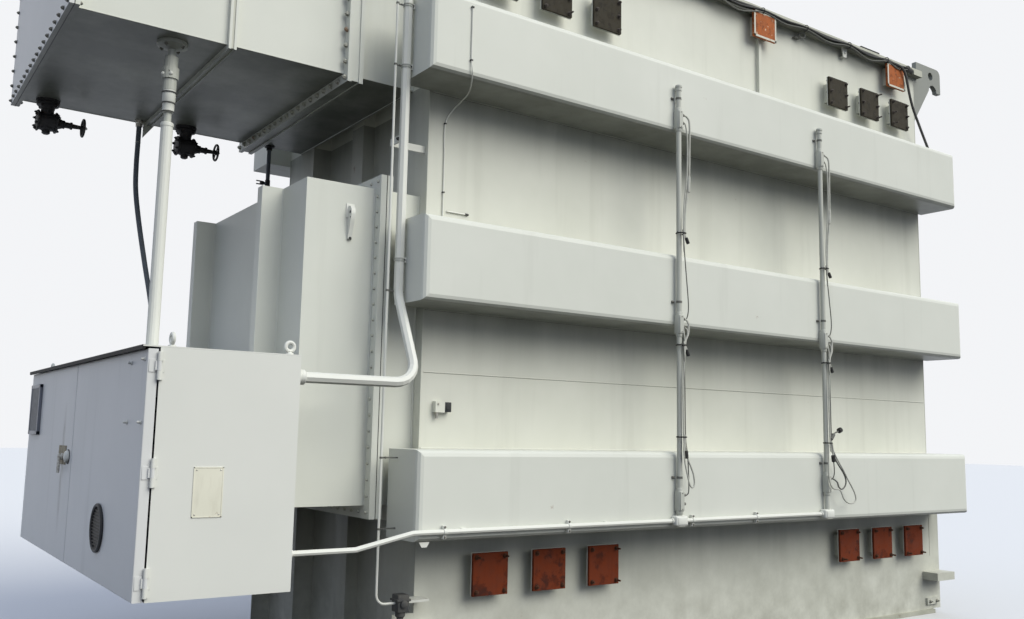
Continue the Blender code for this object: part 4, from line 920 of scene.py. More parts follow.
@dataclass
class Tank:
    """The tank's shell: port plates, pads, weld lines, cover fittings and small fittings in front."""

    frame: dict
    port_columns: tuple[float, ...] = (-1.966, -1.556, -1.146, 1.242, 1.652, 2.062)
    lower_port: float = 0.594
    upper_port: float = 4.075
    port_side: float = 0.228
    port_back: float = 1.08
    port_face: float = 1.1
    skin_out: float = 0.0015
    bolt_inset: float = 0.022
    bolt_size: float = 0.0118
    flange_thick: float = 0.004
    flange_grow: float = 0.003
    long_stud: tuple[float, float] = (0.022, 0.038)
    short_stud: tuple[float, float] = (0.005, 0.012)
    back_stud: float = 0.004
    pad_columns: tuple[float, ...] = (0.384, 2.03)
    pad_half: float = 0.1215
    pad_tall: float = 0.2025
    pad_edge: float = 0.015
    flake_out: float = 0.0008
    weld_level: float = 1.69
    wall_weld: tuple[float, float, float] = (2.385, 1.0205, 0.0035)
    band_weld: tuple[float, float, float] = (2.392, 1.022, 0.006)
    band_gap: float = 0.002
    corner_weld: tuple[float, float, float] = (2.399, 1.019, 0.004)
    corner_span: tuple[float, float] = (0.45, 4.49)
    openings: tuple[float, ...] = (-1.3, 0.0, 1.3)
    opening_along: float = 0.22
    opening_circle: float = 0.3
    manhole: tuple[float, float, float] = (1.896, -0.561, -0.095)
    manhole_circle: float = 0.212
    eye_foot: float = 4.5545
    eye_middle: float = 4.612

    def build(self) -> None:
        """Dresses the whole shell."""
        self.paint()
        chance = random.Random(SEED)
        for side, hand in ((-1, "front"), (1, "back")):
            self.cover_row(f"{hand}_lower_plates", side, self.lower_port, RED_RUST, RUSTY_BOLT, chance)
            self.cover_row(f"{hand}_upper_plates", side, self.upper_port, BROWN_RUST, DARK_BOLT, chance)
            self.cover_pads(f"{hand}_pads", side)
        self.weld_lines()
        self.cover_fittings(chance)
        self.sensor_line()
        self.corner_fittings(chance)

    def paint(self) -> None:
        """Gives the shell's CAD nodes their enamel."""
        paint_nodes(self.frame, WALL_PAINT, "front_wall", "back_wall", "end_wall_left", "end_wall_right")
        for face in ("front", "back"):
            paint_nodes(self.frame, TANK_PAINT, *(f"{face}_band_{row}" for row in BAND_ROWS))
            paint_nodes(self.frame, LUG_PAINT, f"lifting_lug_{face}_left", f"lifting_lug_{face}_right")
        paint_nodes(self.frame, UNDER_PAINT, "tank_floor", "tank_cover")
        paint_nodes(self.frame, CORE_STEEL, "core_and_windings")

    def cover_row(self, name: str, side: int, level: float, rust: Finish, bolts: Finish,
                  chance: random.Random) -> None:
        """Dresses one row of blanked ports: flange, closing plate and studs each.

        Args:
            name: Name of the row's pieces.
            side: -1 for the front, 1 for the back.
            level: Height of the ports' middle.
            rust: Finish of the closing plates.
            bolts: Finish of the studs.
            chance: Source of the studs' lengths.
        """
        half = self.port_side / 2 + self.skin_out
        joint = side * (self.port_back + self.flange_thick)
        face, back = side * (self.port_face + self.skin_out), side * (self.port_back - self.skin_out)
        corners = [(across, up) for across in (-1, 1) for up in (-1, 1)]
        if level > self.weld_level:
            corners += [(-1, 0), (1, 0)]
        flanges, plates, studs = Shape(), Shape(), Shape()
        for middle in self.port_columns:
            for shape, near, far, grow in ((flanges, back, joint, self.flange_grow),
                                           (plates, joint, face, 0.0)):
                reach = half + grow
                shape.box((middle - reach, near, level - reach), (middle + reach, far, level + reach),
                          0.0015, 1)
            reach = half - self.bolt_inset
            for across, up in corners:
                long = chance.random() < (0.75 if (across, up) == (1, -1) else 0.2)
                stud = chance.uniform(*(self.long_stud if long else self.short_stud))
                place, size = (middle + across * reach, face, level + up * reach), self.bolt_size
                studs.bolt(place, (0, side, 0), size, stud, chance.uniform(0, 1))
                behind = (place[0], back, place[2])
                studs.bolt(behind, (0, -side, 0), size, self.back_stud, chance.uniform(0, 1))
        flanges.piece(f"{name}_flanges", TANK_PAINT)
        plates.piece(name, rust)
        studs.piece(f"{name}_studs", bolts)

    def cover_pads(self, name: str, side: int) -> None:
        """Dresses the two pads under the cover's rim: rusted faces with paint left round their edges.

        Args:
            name: Name of the pads' pieces.
            side: -1 for the front, 1 for the back.
        """
        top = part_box("front_wall")[1].z + 0.001
        foot = top - self.pad_tall
        face, back = side * (self.port_face + self.skin_out), side * (self.port_back - self.skin_out)
        plates, frames = Shape(), Shape()
        for middle in self.pad_columns:
            left, right = middle - self.pad_half, middle + self.pad_half
            plates.box((left, back, foot), (right, face, top), 0.0025, 1)
            for low, high in border((left, foot), (right, top), self.pad_edge):
                frames.box((low[0], face - self.flake_out, low[1]),
                           (high[0], face + self.flake_out, high[1]))
        plates.piece(name, MOTTLED_PAD)
        frames.piece(f"{name}_paint_edges", FLAKED_EDGE)

    def weld_lines(self) -> None:
        """Weld beads along the walls and where the bands meet them."""
        beads = Shape()
        levels = [level for row in BAND_ROWS for level in self.band_edges(row)]
        for side in (-1, 1):
            self.level_bead(beads, side, self.weld_level, self.wall_weld)
            for level in levels:
                self.level_bead(beads, side, level, self.band_weld)
            half, depth, radius = self.corner_weld
            for end in (-1, 1):
                beads.tube([(end * half, side * depth, level) for level in self.corner_span], radius, 6)
        beads.piece("wall_welds", WALL_PAINT)

    def band_edges(self, row: str) -> tuple[float, float]:
        """Returns the heights of the welds under and over one row of bands."""
        low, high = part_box(f"front_band_{row}")
        return low.z - self.band_gap, high.z + self.band_gap

    def level_bead(self, beads: Shape, side: int, level: float, weld: tuple[float, float, float]) -> None:
        """Adds one weld bead along a wall.

        Args:
            beads: The shape that takes it.
            side: -1 for the front, 1 for the back.
            level: Its height.
            weld: Half its length, its distance from the tank's middle, and its radius.
        """
        half, depth, radius = weld
        beads.tube(((-half, side * depth, level), (half, side * depth, level)), radius, 8)

    def cover_fittings(self, chance: random.Random) -> None:
        """Bolt circles of the cover's blanked openings and manhole, and three lifting eyes on the cover."""
        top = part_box("tank_cover")[1].z
        bolts = Shape()
        for across in self.openings:
            self.bolt_circle(bolts, Vector((across, self.opening_along, top)), self.opening_circle, 16,
                             chance)
        across, along, drop = self.manhole
        self.bolt_circle(bolts, Vector((across, along, top + drop)), self.manhole_circle, 12, chance)
        bolts.piece("cover_bolts", DARK_BOLT)
        eyes = Shape()
        for across, along in ((-2.25, 0.88), (2.25, 0.88), (2.25, -0.88)):
            eyes.turned((across, along, self.eye_foot), UP,
                        ((0.03, 0.0), (0.03, 0.01), (0.014, 0.018), (0.014, 0.03)))
            eyes.loop((across, along, self.eye_middle), RIGHT, 0.026, 0.008)
        eyes.piece("cover_eyes", PAINTED_BOLT)

    def bolt_circle(self, shape: Shape, middle: Vector, radius: float, count: int,
                    chance: random.Random) -> None:
        """Adds a ring of upright bolts.

        Args:
            shape: The shape that takes them.
            middle: The ring's middle, on the face.
            radius: The ring's radius.
            count: How many bolts.
            chance: Source of the nuts' angles.
        """
        for step in range(count):
            angle = math.tau * step / count
            place = middle + Vector((math.cos(angle), math.sin(angle), 0)) * radius
            shape.bolt(place, UP, 0.014, 0.01, chance.uniform(0, 1))

    def sensor_line(self) -> None:
        """Thin sensor tube from the upper band down the wall, with its clips and end caps."""
        line, clips = Shape(), Shape()
        line.tube(smooth_route(((-2.33, -1.344, 3.7), (-2.33, -1.344, 3.56), (-2.33, -1.344, 3.4),
                                (-2.322, -1.343, 3.31), (-2.28, -1.25, 3.245), (-2.238, -1.09, 3.235),
                                (-2.25, -1.034, 3.205), (-2.297, -1.027, 3.11), (-2.297, -1.027, 2.9),
                                (-2.297, -1.027, 2.7), (-2.297, -1.027, 2.52))), 0.0038, 8)
        line.rod((-2.27, -1.026, 2.606), (-2.146, -1.026, 2.606), 0.005, 10)
        line.piece("sensor_line", CONDUIT_PAINT)
        for level in (3.69, 3.385):
            clips.box((-2.338, -1.35, level - 0.005), (-2.322, -1.3368, level + 0.005), 0.002)
        for level in (3.115, 2.712):
            clips.box((-2.304, -1.034, level - 0.004), (-2.29, -1.0195, level + 0.004), 0.0015)
        clips.rod((-2.15, -1.026, 2.606), (-2.124, -1.026, 2.606), 0.0065, 10, 0.002)
        clips.piece("sensor_clips", DARK_CABLE)
        eye = Shape()
        eye.box((-2.262, -1.058, 1.474), (-2.222, -1.0195, 1.528), 0.003)
        eye.rod((-2.245, -1.0575, 1.501), (-2.245, -1.063, 1.501), 0.014, 16, 0.001)
        eye.piece("sensor_eye", VENT_DARK)
        gland = Shape()
        gland.turned((-2.305, -1.04, 1.4715), DOWN,
                     ((0.01, 0.0), (0.01, 0.016), (0.007, 0.022), (0.007, 0.034)), 10)
        gland.bolt((-2.305, -1.0555, 1.516), FRONT, 0.005, 0.0)
        gland.piece("sensor_gland", ZINC)

    def corner_fittings(self, chance: random.Random) -> None:
        """Bolts on the earthing pad and brackets under the rim and the lower band."""
        studs = Shape()
        for across in (2.355, 2.445):
            studs.bolt((across, -1.0382, 0.095), FRONT, 0.012, 0.012, chance.uniform(0, 1))
        for end in (-1, 1):
            for side in (-1, 1):
                studs.bolt((end * 2.462, side * 1.0002, 4.452), (0, side, 0), 0.01, 0.003)
        studs.piece("corner_bolts", PAINTED_BOLT)
        brackets = Shape()
        across = 1.396
        brackets.slab(((across - 0.034, -1.058, 4.499), (across + 0.034, -1.058, 4.499),
                       (across + 0.02, -1.058, 4.424), (across - 0.02, -1.058, 4.424)), (0, 0.008, 0))
        brackets.box((across - 0.02, -1.051, 4.424), (across + 0.02, -1.0195, 4.431), 0.001, 1)
        brackets.bolt((across, -1.058, 4.462), FRONT, 0.008, 0.002)
        brackets.slab(((-2.56, -1.335, 0.8135), (-2.5, -1.335, 0.8135), (-2.515, -1.335, 0.788),
                       (-2.545, -1.335, 0.788)), (0, 0.006, 0))
        brackets.piece("small_brackets", CONDUIT_PAINT)


@dataclass
class UpperBox:
    """Bolts, gaskets and weld lines of the box on the tank's left end."""

    frame: dict
    pitch: float = 0.092
    foot_pitch: float = 0.105
    joint_pitch: float = 0.095
    end_inset: float = 0.03
    joint_out: float = 0.029
    joint_face: float = -2.8445
    flange_out: float = 0.056
    spacer: tuple[float, float] = (-2.8212, -2.7738)
    sealant: tuple[float, float] = (-3.493, -3.477)
    skin_out: float = 0.0015
    wall_seam: float = -2.402

    def build(self) -> None:
        """Dresses the box."""
        paint_nodes(self.frame, BOX_PAINT, "upper_box_inner", "upper_box_outer")
        paint_nodes(self.frame, DOOR_PAINT, "upper_box_end_cover")
        chance = random.Random(SEED + 1)
        self.end_bolts(chance)
        self.joint_bolts(chance)
        self.seams()

    def end_bolts(self, chance: random.Random) -> None:
        """Bolts round the end cover, with their nuts behind the flange."""
        low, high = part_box("upper_box_end_cover")
        bolts = Shape()
        left, right = low.y + self.end_inset, high.y - self.end_inset
        foot, top = low.z + 0.02, high.z - self.end_inset
        face, back = low.x, high.x + 0.024
        for place, outward in ((face, LEFT), (back, RIGHT)):
            for along in (left, right):
                bolt_row(bolts, (place, along, foot), (place, along, top), self.pitch, outward, 0.01, chance,
                         0.004)
        for level in (foot, top):
            bolt_row(bolts, (face, left + self.foot_pitch, level), (face, right - self.foot_pitch, level),
                     self.foot_pitch, LEFT, 0.01, chance, 0.004)
        bolts.piece("end_cover_bolts", GREY_BOLT)

    def joint_bolts(self, chance: random.Random) -> None:
        """Nuts on the outer flange of the joint between the box's sections, and the ring in that joint."""
        low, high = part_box("upper_box_inner")
        out = self.flange_out - self.joint_out
        left, right, foot, top = low.y + out, high.y - out, low.z + out, high.z - out
        bolts, spacer, strip = Shape(), Shape(), Shape()
        pitch, far = self.joint_pitch, self.joint_face
        lines = (((left, foot), (left, top)), ((right, foot), (right, top)),
                 ((left + pitch, foot), (right - pitch, foot)), ((left + pitch, top), (right - pitch, top)))
        for start, end in lines:
            bolt_row(bolts, (far, *start), (far, *end), pitch, LEFT, 0.013, chance, 0.005)
        out = self.flange_out
        inside = (low.y + out, high.y - out, low.z + out, high.z - out)
        self.band(spacer, self.spacer, inside, 0.047)
        self.band(strip, self.sealant, inside, 0.023)
        bolts.piece("box_joint_nuts", PAINTED_BOLT)
        spacer.piece("box_joint_ring", BOX_PAINT)
        strip.piece("rib_sealant", SEALANT)

    def band(self, shape: Shape, across: tuple[float, float], inside: tuple[float, float, float, float],
             out: float) -> None:
        """Adds a flat band round the box.

        Args:
            shape: The shape that takes it.
            across: Its two places along X.
            inside: The box's near, far, lower and upper face.
            out: How far the band stands out of them.
        """
        near, far, foot, top = inside
        for low, high in (((near - out, foot - out), (near, top + out)),
                          ((far, foot - out), (far + out, top + out)),
                          ((near, foot - out), (far, foot)), ((near, top), (far, top + out))):
            shape.box((across[0], low[0], low[1]), (across[1], high[0], high[1]))

    def seams(self) -> None:
        """Gasket edge behind the end cover and weld beads under the box."""
        gasket, out = Shape(), self.skin_out
        low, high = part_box("upper_box_end_cover")
        gasket.box((high.x - out, low.y - out, low.z - out), (high.x + 0.0018, high.y + out, high.z + out))
        gasket.piece("end_cover_gasket", BLACK_RUBBER)
        beads, seam = Shape(), self.wall_seam
        low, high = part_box("upper_box_inner")
        foot, top, half = low.z + self.flange_out, high.z - self.flange_out, high.y - self.flange_out
        for along in (-half, half):
            beads.tube(((seam, along, foot), (seam, along, top)), 0.006, 8)
            beads.tube(((-2.85, along, foot), (-4.23, along, foot)), 0.003, 8)
        beads.tube(((seam, -half, foot), (seam, half, foot)), 0.006, 8)
        beads.piece("box_welds", BOX_PAINT)


@dataclass
class SideCompartment:
    """Flange bolts, hooks and weld lines of the compartment under the upper box."""

    frame: dict
    pitch: float = 0.085
    flange_out: float = 0.034
    flange_faces: tuple[float, float] = (-2.6058, -2.6785)
    side_face: float = 0.9395
    seam_out: float = 0.941
    seam_span: tuple[float, float] = (0.972, 2.687)

    def build(self) -> None:
        """Dresses the compartment."""
        paint_nodes(self.frame, BOX_PAINT, "side_throat", "side_compartment")
        self.flange_bolts(random.Random(SEED + 2))
        self.hooks()

    def flange_bolts(self, chance: random.Random) -> None:
        """Bolts through the pair of flanges."""
        low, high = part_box("side_throat")
        left, right = low.y + self.flange_out, high.y - self.flange_out
        foot, top = low.z + self.flange_out, high.z - self.flange_out
        bolts = Shape()
        for place, outward in zip(self.flange_faces, (RIGHT, LEFT)):
            for along in (left, right):
                bolt_row(bolts, (place, along, foot), (place, along, top), self.pitch, outward, 0.008,
                         chance, 0.0)
            for level in (foot, top):
                bolt_row(bolts, (place, left + self.pitch, level), (place, right - self.pitch, level),
                         self.pitch, outward, 0.008, chance, 0.0)
        bolts.piece("compartment_bolts", SEALANT)
        gasket = Shape()
        gasket.box((-2.6438, low.y - 0.0015, low.z - 0.0015), (-2.6405, high.y + 0.0015, high.z + 0.0015))
        gasket.piece("compartment_gasket", BLACK_RUBBER)

    def hooks(self) -> None:
        """Lifting hooks on the compartment's two sides, and the edge lines of its sheets."""
        hooks, holes, beads = Shape(), Shape(), Shape()
        for side in (-1, 1):
            face = side * self.side_face
            outline = [(-2.838, face + side * out, level)
                       for out, level in ((0.0, 2.566), (0.03, 2.562), (0.046, 2.54), (0.048, 2.512),
                                          (0.034, 2.47), (0.018, 2.415), (0.012, 2.384), (0.0, 2.38))]
            hooks.slab(outline, (0.024, 0, 0))
            hooks.box((-2.85, face, 2.5), (-2.802, face + side * 0.006, 2.578), 0.002)
            holes.rod((-2.8388, face + side * 0.03, 2.528), (-2.8132, face + side * 0.03, 2.528), 0.0085, 14)
            holes.rod((-2.8388, face + side * 0.034, 2.5), (-2.8132, face + side * 0.034, 2.5), 0.0045, 10)
            holes.rod((-2.826, face + side * 0.004, 2.392), (-2.826, face + side * 0.019, 2.386), 0.007, 10)
            for along in (side * 0.544, side * 0.613):
                beads.tube(((-3.08, along, 0.975), (-3.08, along, 2.684)), 0.005, 8)
            for across, radius in ((-2.681, 0.005), (-2.404, 0.006)):
                beads.tube([(across, side * self.seam_out, level) for level in self.seam_span], radius, 8)
        hooks.piece("compartment_hooks", CONDUIT_PAINT)
        holes.piece("hook_holes", DARK_CABLE)
        beads.piece("compartment_welds", BOX_PAINT)


@dataclass
class Cabinet:
    """Control cabinet: hinges, gaskets, the roof edge's painted shadow, window, vent, handle, bare plate and
    its inside.
    """

    frame: dict
    hinge_half: float = 0.028
    hinge_thick: float = 0.0025
    door_edge: float = 1.4142
    side_face: float = 1.4162
    seal_face: float = -3.9055
    seal_wide: float = 0.014
    seal_inset: float = 0.03
    border_wide: float = 0.005
    rivet_inset: float = 0.013
    eye_radius: float = 0.0205

    def build(self) -> None:
        """Dresses the cabinet and its two doors."""
        paint_nodes(self.frame, CABINET_PAINT, "cabinet_body", "cabinet_roof")
        paint_nodes(self.frame, DOOR_PAINT, "door_near")
        paint_nodes(self.frame, STAINED_DOOR, "door_far")
        self.hinges()
        self.roof()
        self.gaskets()
        self.window()
        self.vent()
        self.handle()
        self.near_door_studs()
        self.bare_plate()
        self.inside()

    def hinges(self) -> None:
        """Hinge leaves on the door edges and their bases on the cabinet's sides, in the cabinet's own paint.
        """
        body_low, body_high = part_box("cabinet_body")
        foot, top = body_low.z + 0.08, body_high.z - 0.08
        for side, leaf in ((-1, "near"), (1, "far")):
            on_door, on_body = Shape(), Shape()
            edge, wall, thick = side * self.door_edge, side * self.side_face, side * self.hinge_thick
            for level in (foot, (foot + top) / 2, top):
                low, high = level - self.hinge_half, level + self.hinge_half
                on_door.box((-3.942, edge, low), (-3.912, edge + thick, high), 0.0008, 1)
                on_body.box((-3.892, wall, low), (-3.878, wall + thick, high), 0.0008, 1)
            on_door.piece(f"{leaf}_hinge_leaves", DOOR_PAINT, f"{leaf}_leaf")
            on_body.piece(f"{leaf}_hinge_bases", CABINET_PAINT)

    def roof(self) -> None:
        """Near-black strip along the roof's front that paints the shadow under its overhang, and four
        lifting eyes.
        """
        low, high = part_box("cabinet_roof")
        # Painted shadow: a near-black strip standing for the shade under the roof's overhang.
        strip = Shape()
        strip.box((low.x - 0.0015, low.y + 0.001, low.z - 0.012),
                  (low.x + 0.01, high.y - 0.001, high.z + 0.0012), 0.001, 1)
        strip.piece("roof_edge_strip", BLACK_STRIP_AND_SHADOW)
        eyes = Shape()
        for across in (-3.842, -3.306):
            for along in (-1.38, 1.38):
                eyes.turned((across, along, high.z), UP,
                            ((0.018, 0.0), (0.018, 0.006), (0.009, 0.011), (0.009, 0.018)), 14)
                eyes.loop((across, along, high.z + 0.037), (0, 1, 0) if across > -3.5 else RIGHT,
                          self.eye_radius, 0.0095)
        eyes.piece("roof_eyes", CONDUIT_PAINT)

    def gaskets(self) -> None:
        """Rubber seal on the inner face of each door."""
        for leaf in ("near", "far"):
            low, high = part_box(f"door_{leaf}")
            side = -1 if leaf == "near" else 1
            start, end = sorted((side * self.seal_inset, side * 1.385))
            foot, top, face = low.z + self.seal_inset, high.z - self.seal_inset, self.seal_face
            seal = Shape()
            for near, far in border((start, foot), (end, top), self.seal_wide):
                seal.box((face, *near), (face + 0.006, *far), 0.002, 1)
            seal.piece(f"{leaf}_door_seal", BLACK_RUBBER, f"{leaf}_leaf")

    def window(self) -> None:
        """Flat framed window of the far door, which stands for the plain block."""
        frame, pane, screws = Shape(), Shape(), Shape()
        start, end, foot, top, back, face = 1.02, 1.335, 1.3, 1.615, -3.948, -3.9665
        wide = 0.024
        for low, high in border((start, foot), (end, top), wide):
            frame.box((face, *low), (back, *high), 0.003, 1)
        pane.box((face + 0.0035, start + wide - 0.002, foot + wide - 0.002),
                 (back, end - wide + 0.002, top - wide + 0.002))
        for along in (start + wide / 2, end - wide / 2):
            for level in (foot + wide / 2, top - wide / 2):
                screws.turned((face, along, level), LEFT, ((0.004, -0.001), (0.0035, 0.0015)), 10)
        frame.piece("window_frame", WINDOW_GREY, "far_leaf", ("door_window",))
        pane.piece("window_pane", RELAY_GREY, "far_leaf", ("door_window",))
        screws.piece("window_screws", ZINC, "far_leaf")

    def vent(self) -> None:
        """Round louvred vent that stands for the plain disc."""
        low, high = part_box("door_vent")
        centre = (low + high) / 2
        radius, face = (high.y - low.y) / 2, high.x
        ring = Shape()
        ring.loop((face - 0.006, centre.y, centre.z), (1, 0, 0), radius - 0.009, 0.0085, 40, 10)
        ring.turned((face, centre.y, centre.z), LEFT, ((radius - 0.012, 0.0), (radius - 0.012, 0.002)), 40)
        ring.piece("vent_ring", VENT_DARK, "near_leaf", ("door_vent",))
        slats = Shape()
        inner = radius - 0.016
        for step in range(-6, 7):
            level = step * 0.0145
            half = math.sqrt(max(inner ** 2 - level ** 2, 0.0))
            outline = [(face - 0.002, centre.y - half, centre.z + level - 0.001),
                       (face - 0.009, centre.y - half, centre.z + level - 0.008),
                       (face - 0.009, centre.y + half, centre.z + level - 0.008),
                       (face - 0.002, centre.y + half, centre.z + level - 0.001)]
            slats.slab(outline, (0.0008, 0, 0.0014))
        slats.piece("vent_slats", BLACK_RUBBER, "near_leaf")

    def handle(self) -> None:
        """Compact grip on a weathered plate, with the round lock cap beside it."""
        low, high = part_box("door_handle")
        middle = (low.y + high.y) / 2
        grip, plate, cap, seal = Shape(), Shape(), Shape(), Shape()
        plate.box((-3.952, 0.14, 1.147), (-3.9478, 0.34, 1.25), 0.0015, 1)
        plate.piece("handle_plate", HANDLE_RUST, "far_leaf")
        grip.turned((-3.9515, middle, 1.19), LEFT,
                    ((0.019, 0.0), (0.019, 0.01), (0.014, 0.014), (0.014, 0.022)), 20)
        grip.box((-3.98, middle - 0.013, 1.1), (-3.966, middle + 0.013, 1.206), 0.006, 3)
        grip.piece("handle_grip", PALE_GRIP, "handle", ("door_handle",))
        cap.turned((-3.9482, 0.082, 1.192), LEFT,
                   ((0.034, -0.002), (0.034, 0.01), (0.028, 0.018), (0.012, 0.023)), 28)
        cap.piece("lock_cap", CABINET_PAINT, "far_leaf")
        seal.turned((-3.9482, 0.082, 1.192), LEFT, ((0.04, -0.002), (0.04, 0.003)), 28)
        seal.piece("lock_seal", BLACK_RUBBER, "far_leaf")
        screws = Shape()
        for along in (0.152, 0.328):
            for level in (1.158, 1.239):
                screws.turned((-3.952, along, level), LEFT, ((0.005, -0.001), (0.0045, 0.002)), 10)
        screws.piece("handle_screws", ZINC, "far_leaf")

    def near_door_studs(self) -> None:
        """Four small stay studs on the near door."""
        studs = Shape()
        for along, level in ((-1.155, 1.64), (-1.375, 1.646), (-1.14, 1.379), (-1.375, 1.379)):
            studs.turned((-3.9482, along, level), LEFT,
                         ((0.01, 0.0), (0.01, 0.003), (0.006, 0.005), (0.006, 0.016), (0.004, 0.018)), 12)
        studs.piece("near_door_studs", CABINET_PAINT, "near_leaf")

    def bare_plate(self) -> None:
        """Blank weathered plate with a raised border on the cabinet's side."""
        plate, rivets = Shape(), Shape()
        left, right, foot, top, face, inset = -3.727, -3.596, 0.978, 1.193, -self.side_face, self.rivet_inset
        plate.box((left, face - 0.0018, foot), (right, face + 0.0004, top), 0.0006, 1)
        for start, end in border((left, foot), (right, top), self.border_wide):
            plate.box((start[0], face - 0.003, start[1]), (end[0], face - 0.001, end[1]), 0.0004, 1)
        plate.piece("bare_plate", AGED_PLATE)
        for level in (foot + inset, top - inset):
            for across in (left + inset, right - inset):
                rivets.turned((across, face - 0.0016, level), FRONT,
                              ((0.0042, 0.0), (0.0036, 0.0016), (0.0015, 0.0024)), 10)
        rivets.piece("bare_plate_rivets", ZINC)

    def inside(self) -> None:
        """Mounting sheet with rails of terminals and a few relays, seen when the doors are open."""
        back = -3.2665
        sheet = Shape()
        sheet.box((back - 0.03, -1.3, 0.74), (back - 0.026, 1.3, 1.6), 0.001, 1)
        for along in (-1.25, -0.42, 0.42, 1.25):
            for level in (0.78, 1.56):
                sheet.rod((back - 0.027, along, level), (back - 0.0002, along, level), 0.01, 10)
        sheet.piece("mounting_sheet", CABINET_PAINT)
        rails, blocks, relays, ducts = Shape(), Shape(), Shape(), Shape()
        face = back - 0.03
        chance = random.Random(SEED + 3)
        for level in (0.86, 1.08, 1.3, 1.5):
            for start, end in ((-1.22, -0.08), (0.08, 1.22)):
                rails.box((face - 0.008, start, level - 0.018), (face, end, level + 0.018), 0.001, 1)
                along = start + 0.04
                while along < end - 0.1:
                    if chance.random() < 0.22:
                        relays.box((face - 0.085, along, level - 0.046),
                                   (face - 0.007, along + 0.072, level + 0.046), 0.004)
                        along += 0.08
                    else:
                        wide = chance.choice((0.01, 0.012, 0.016))
                        blocks.box((face - 0.05, along, level - 0.03),
                                   (face - 0.007, along + wide - 0.002, level + 0.03), 0.001, 1)
                        along += wide
        for level in (0.97, 1.19, 1.4):
            ducts.box((face - 0.055, -1.25, level - 0.022), (face - 0.0002, 1.25, level + 0.022), 0.002, 1)
        rails.piece("terminal_rails", ZINC)
        blocks.piece("terminal_blocks", RELAY_GREY)
        relays.piece("relays", VENT_DARK)
        ducts.piece("wiring_ducts", PALE_CABLE)


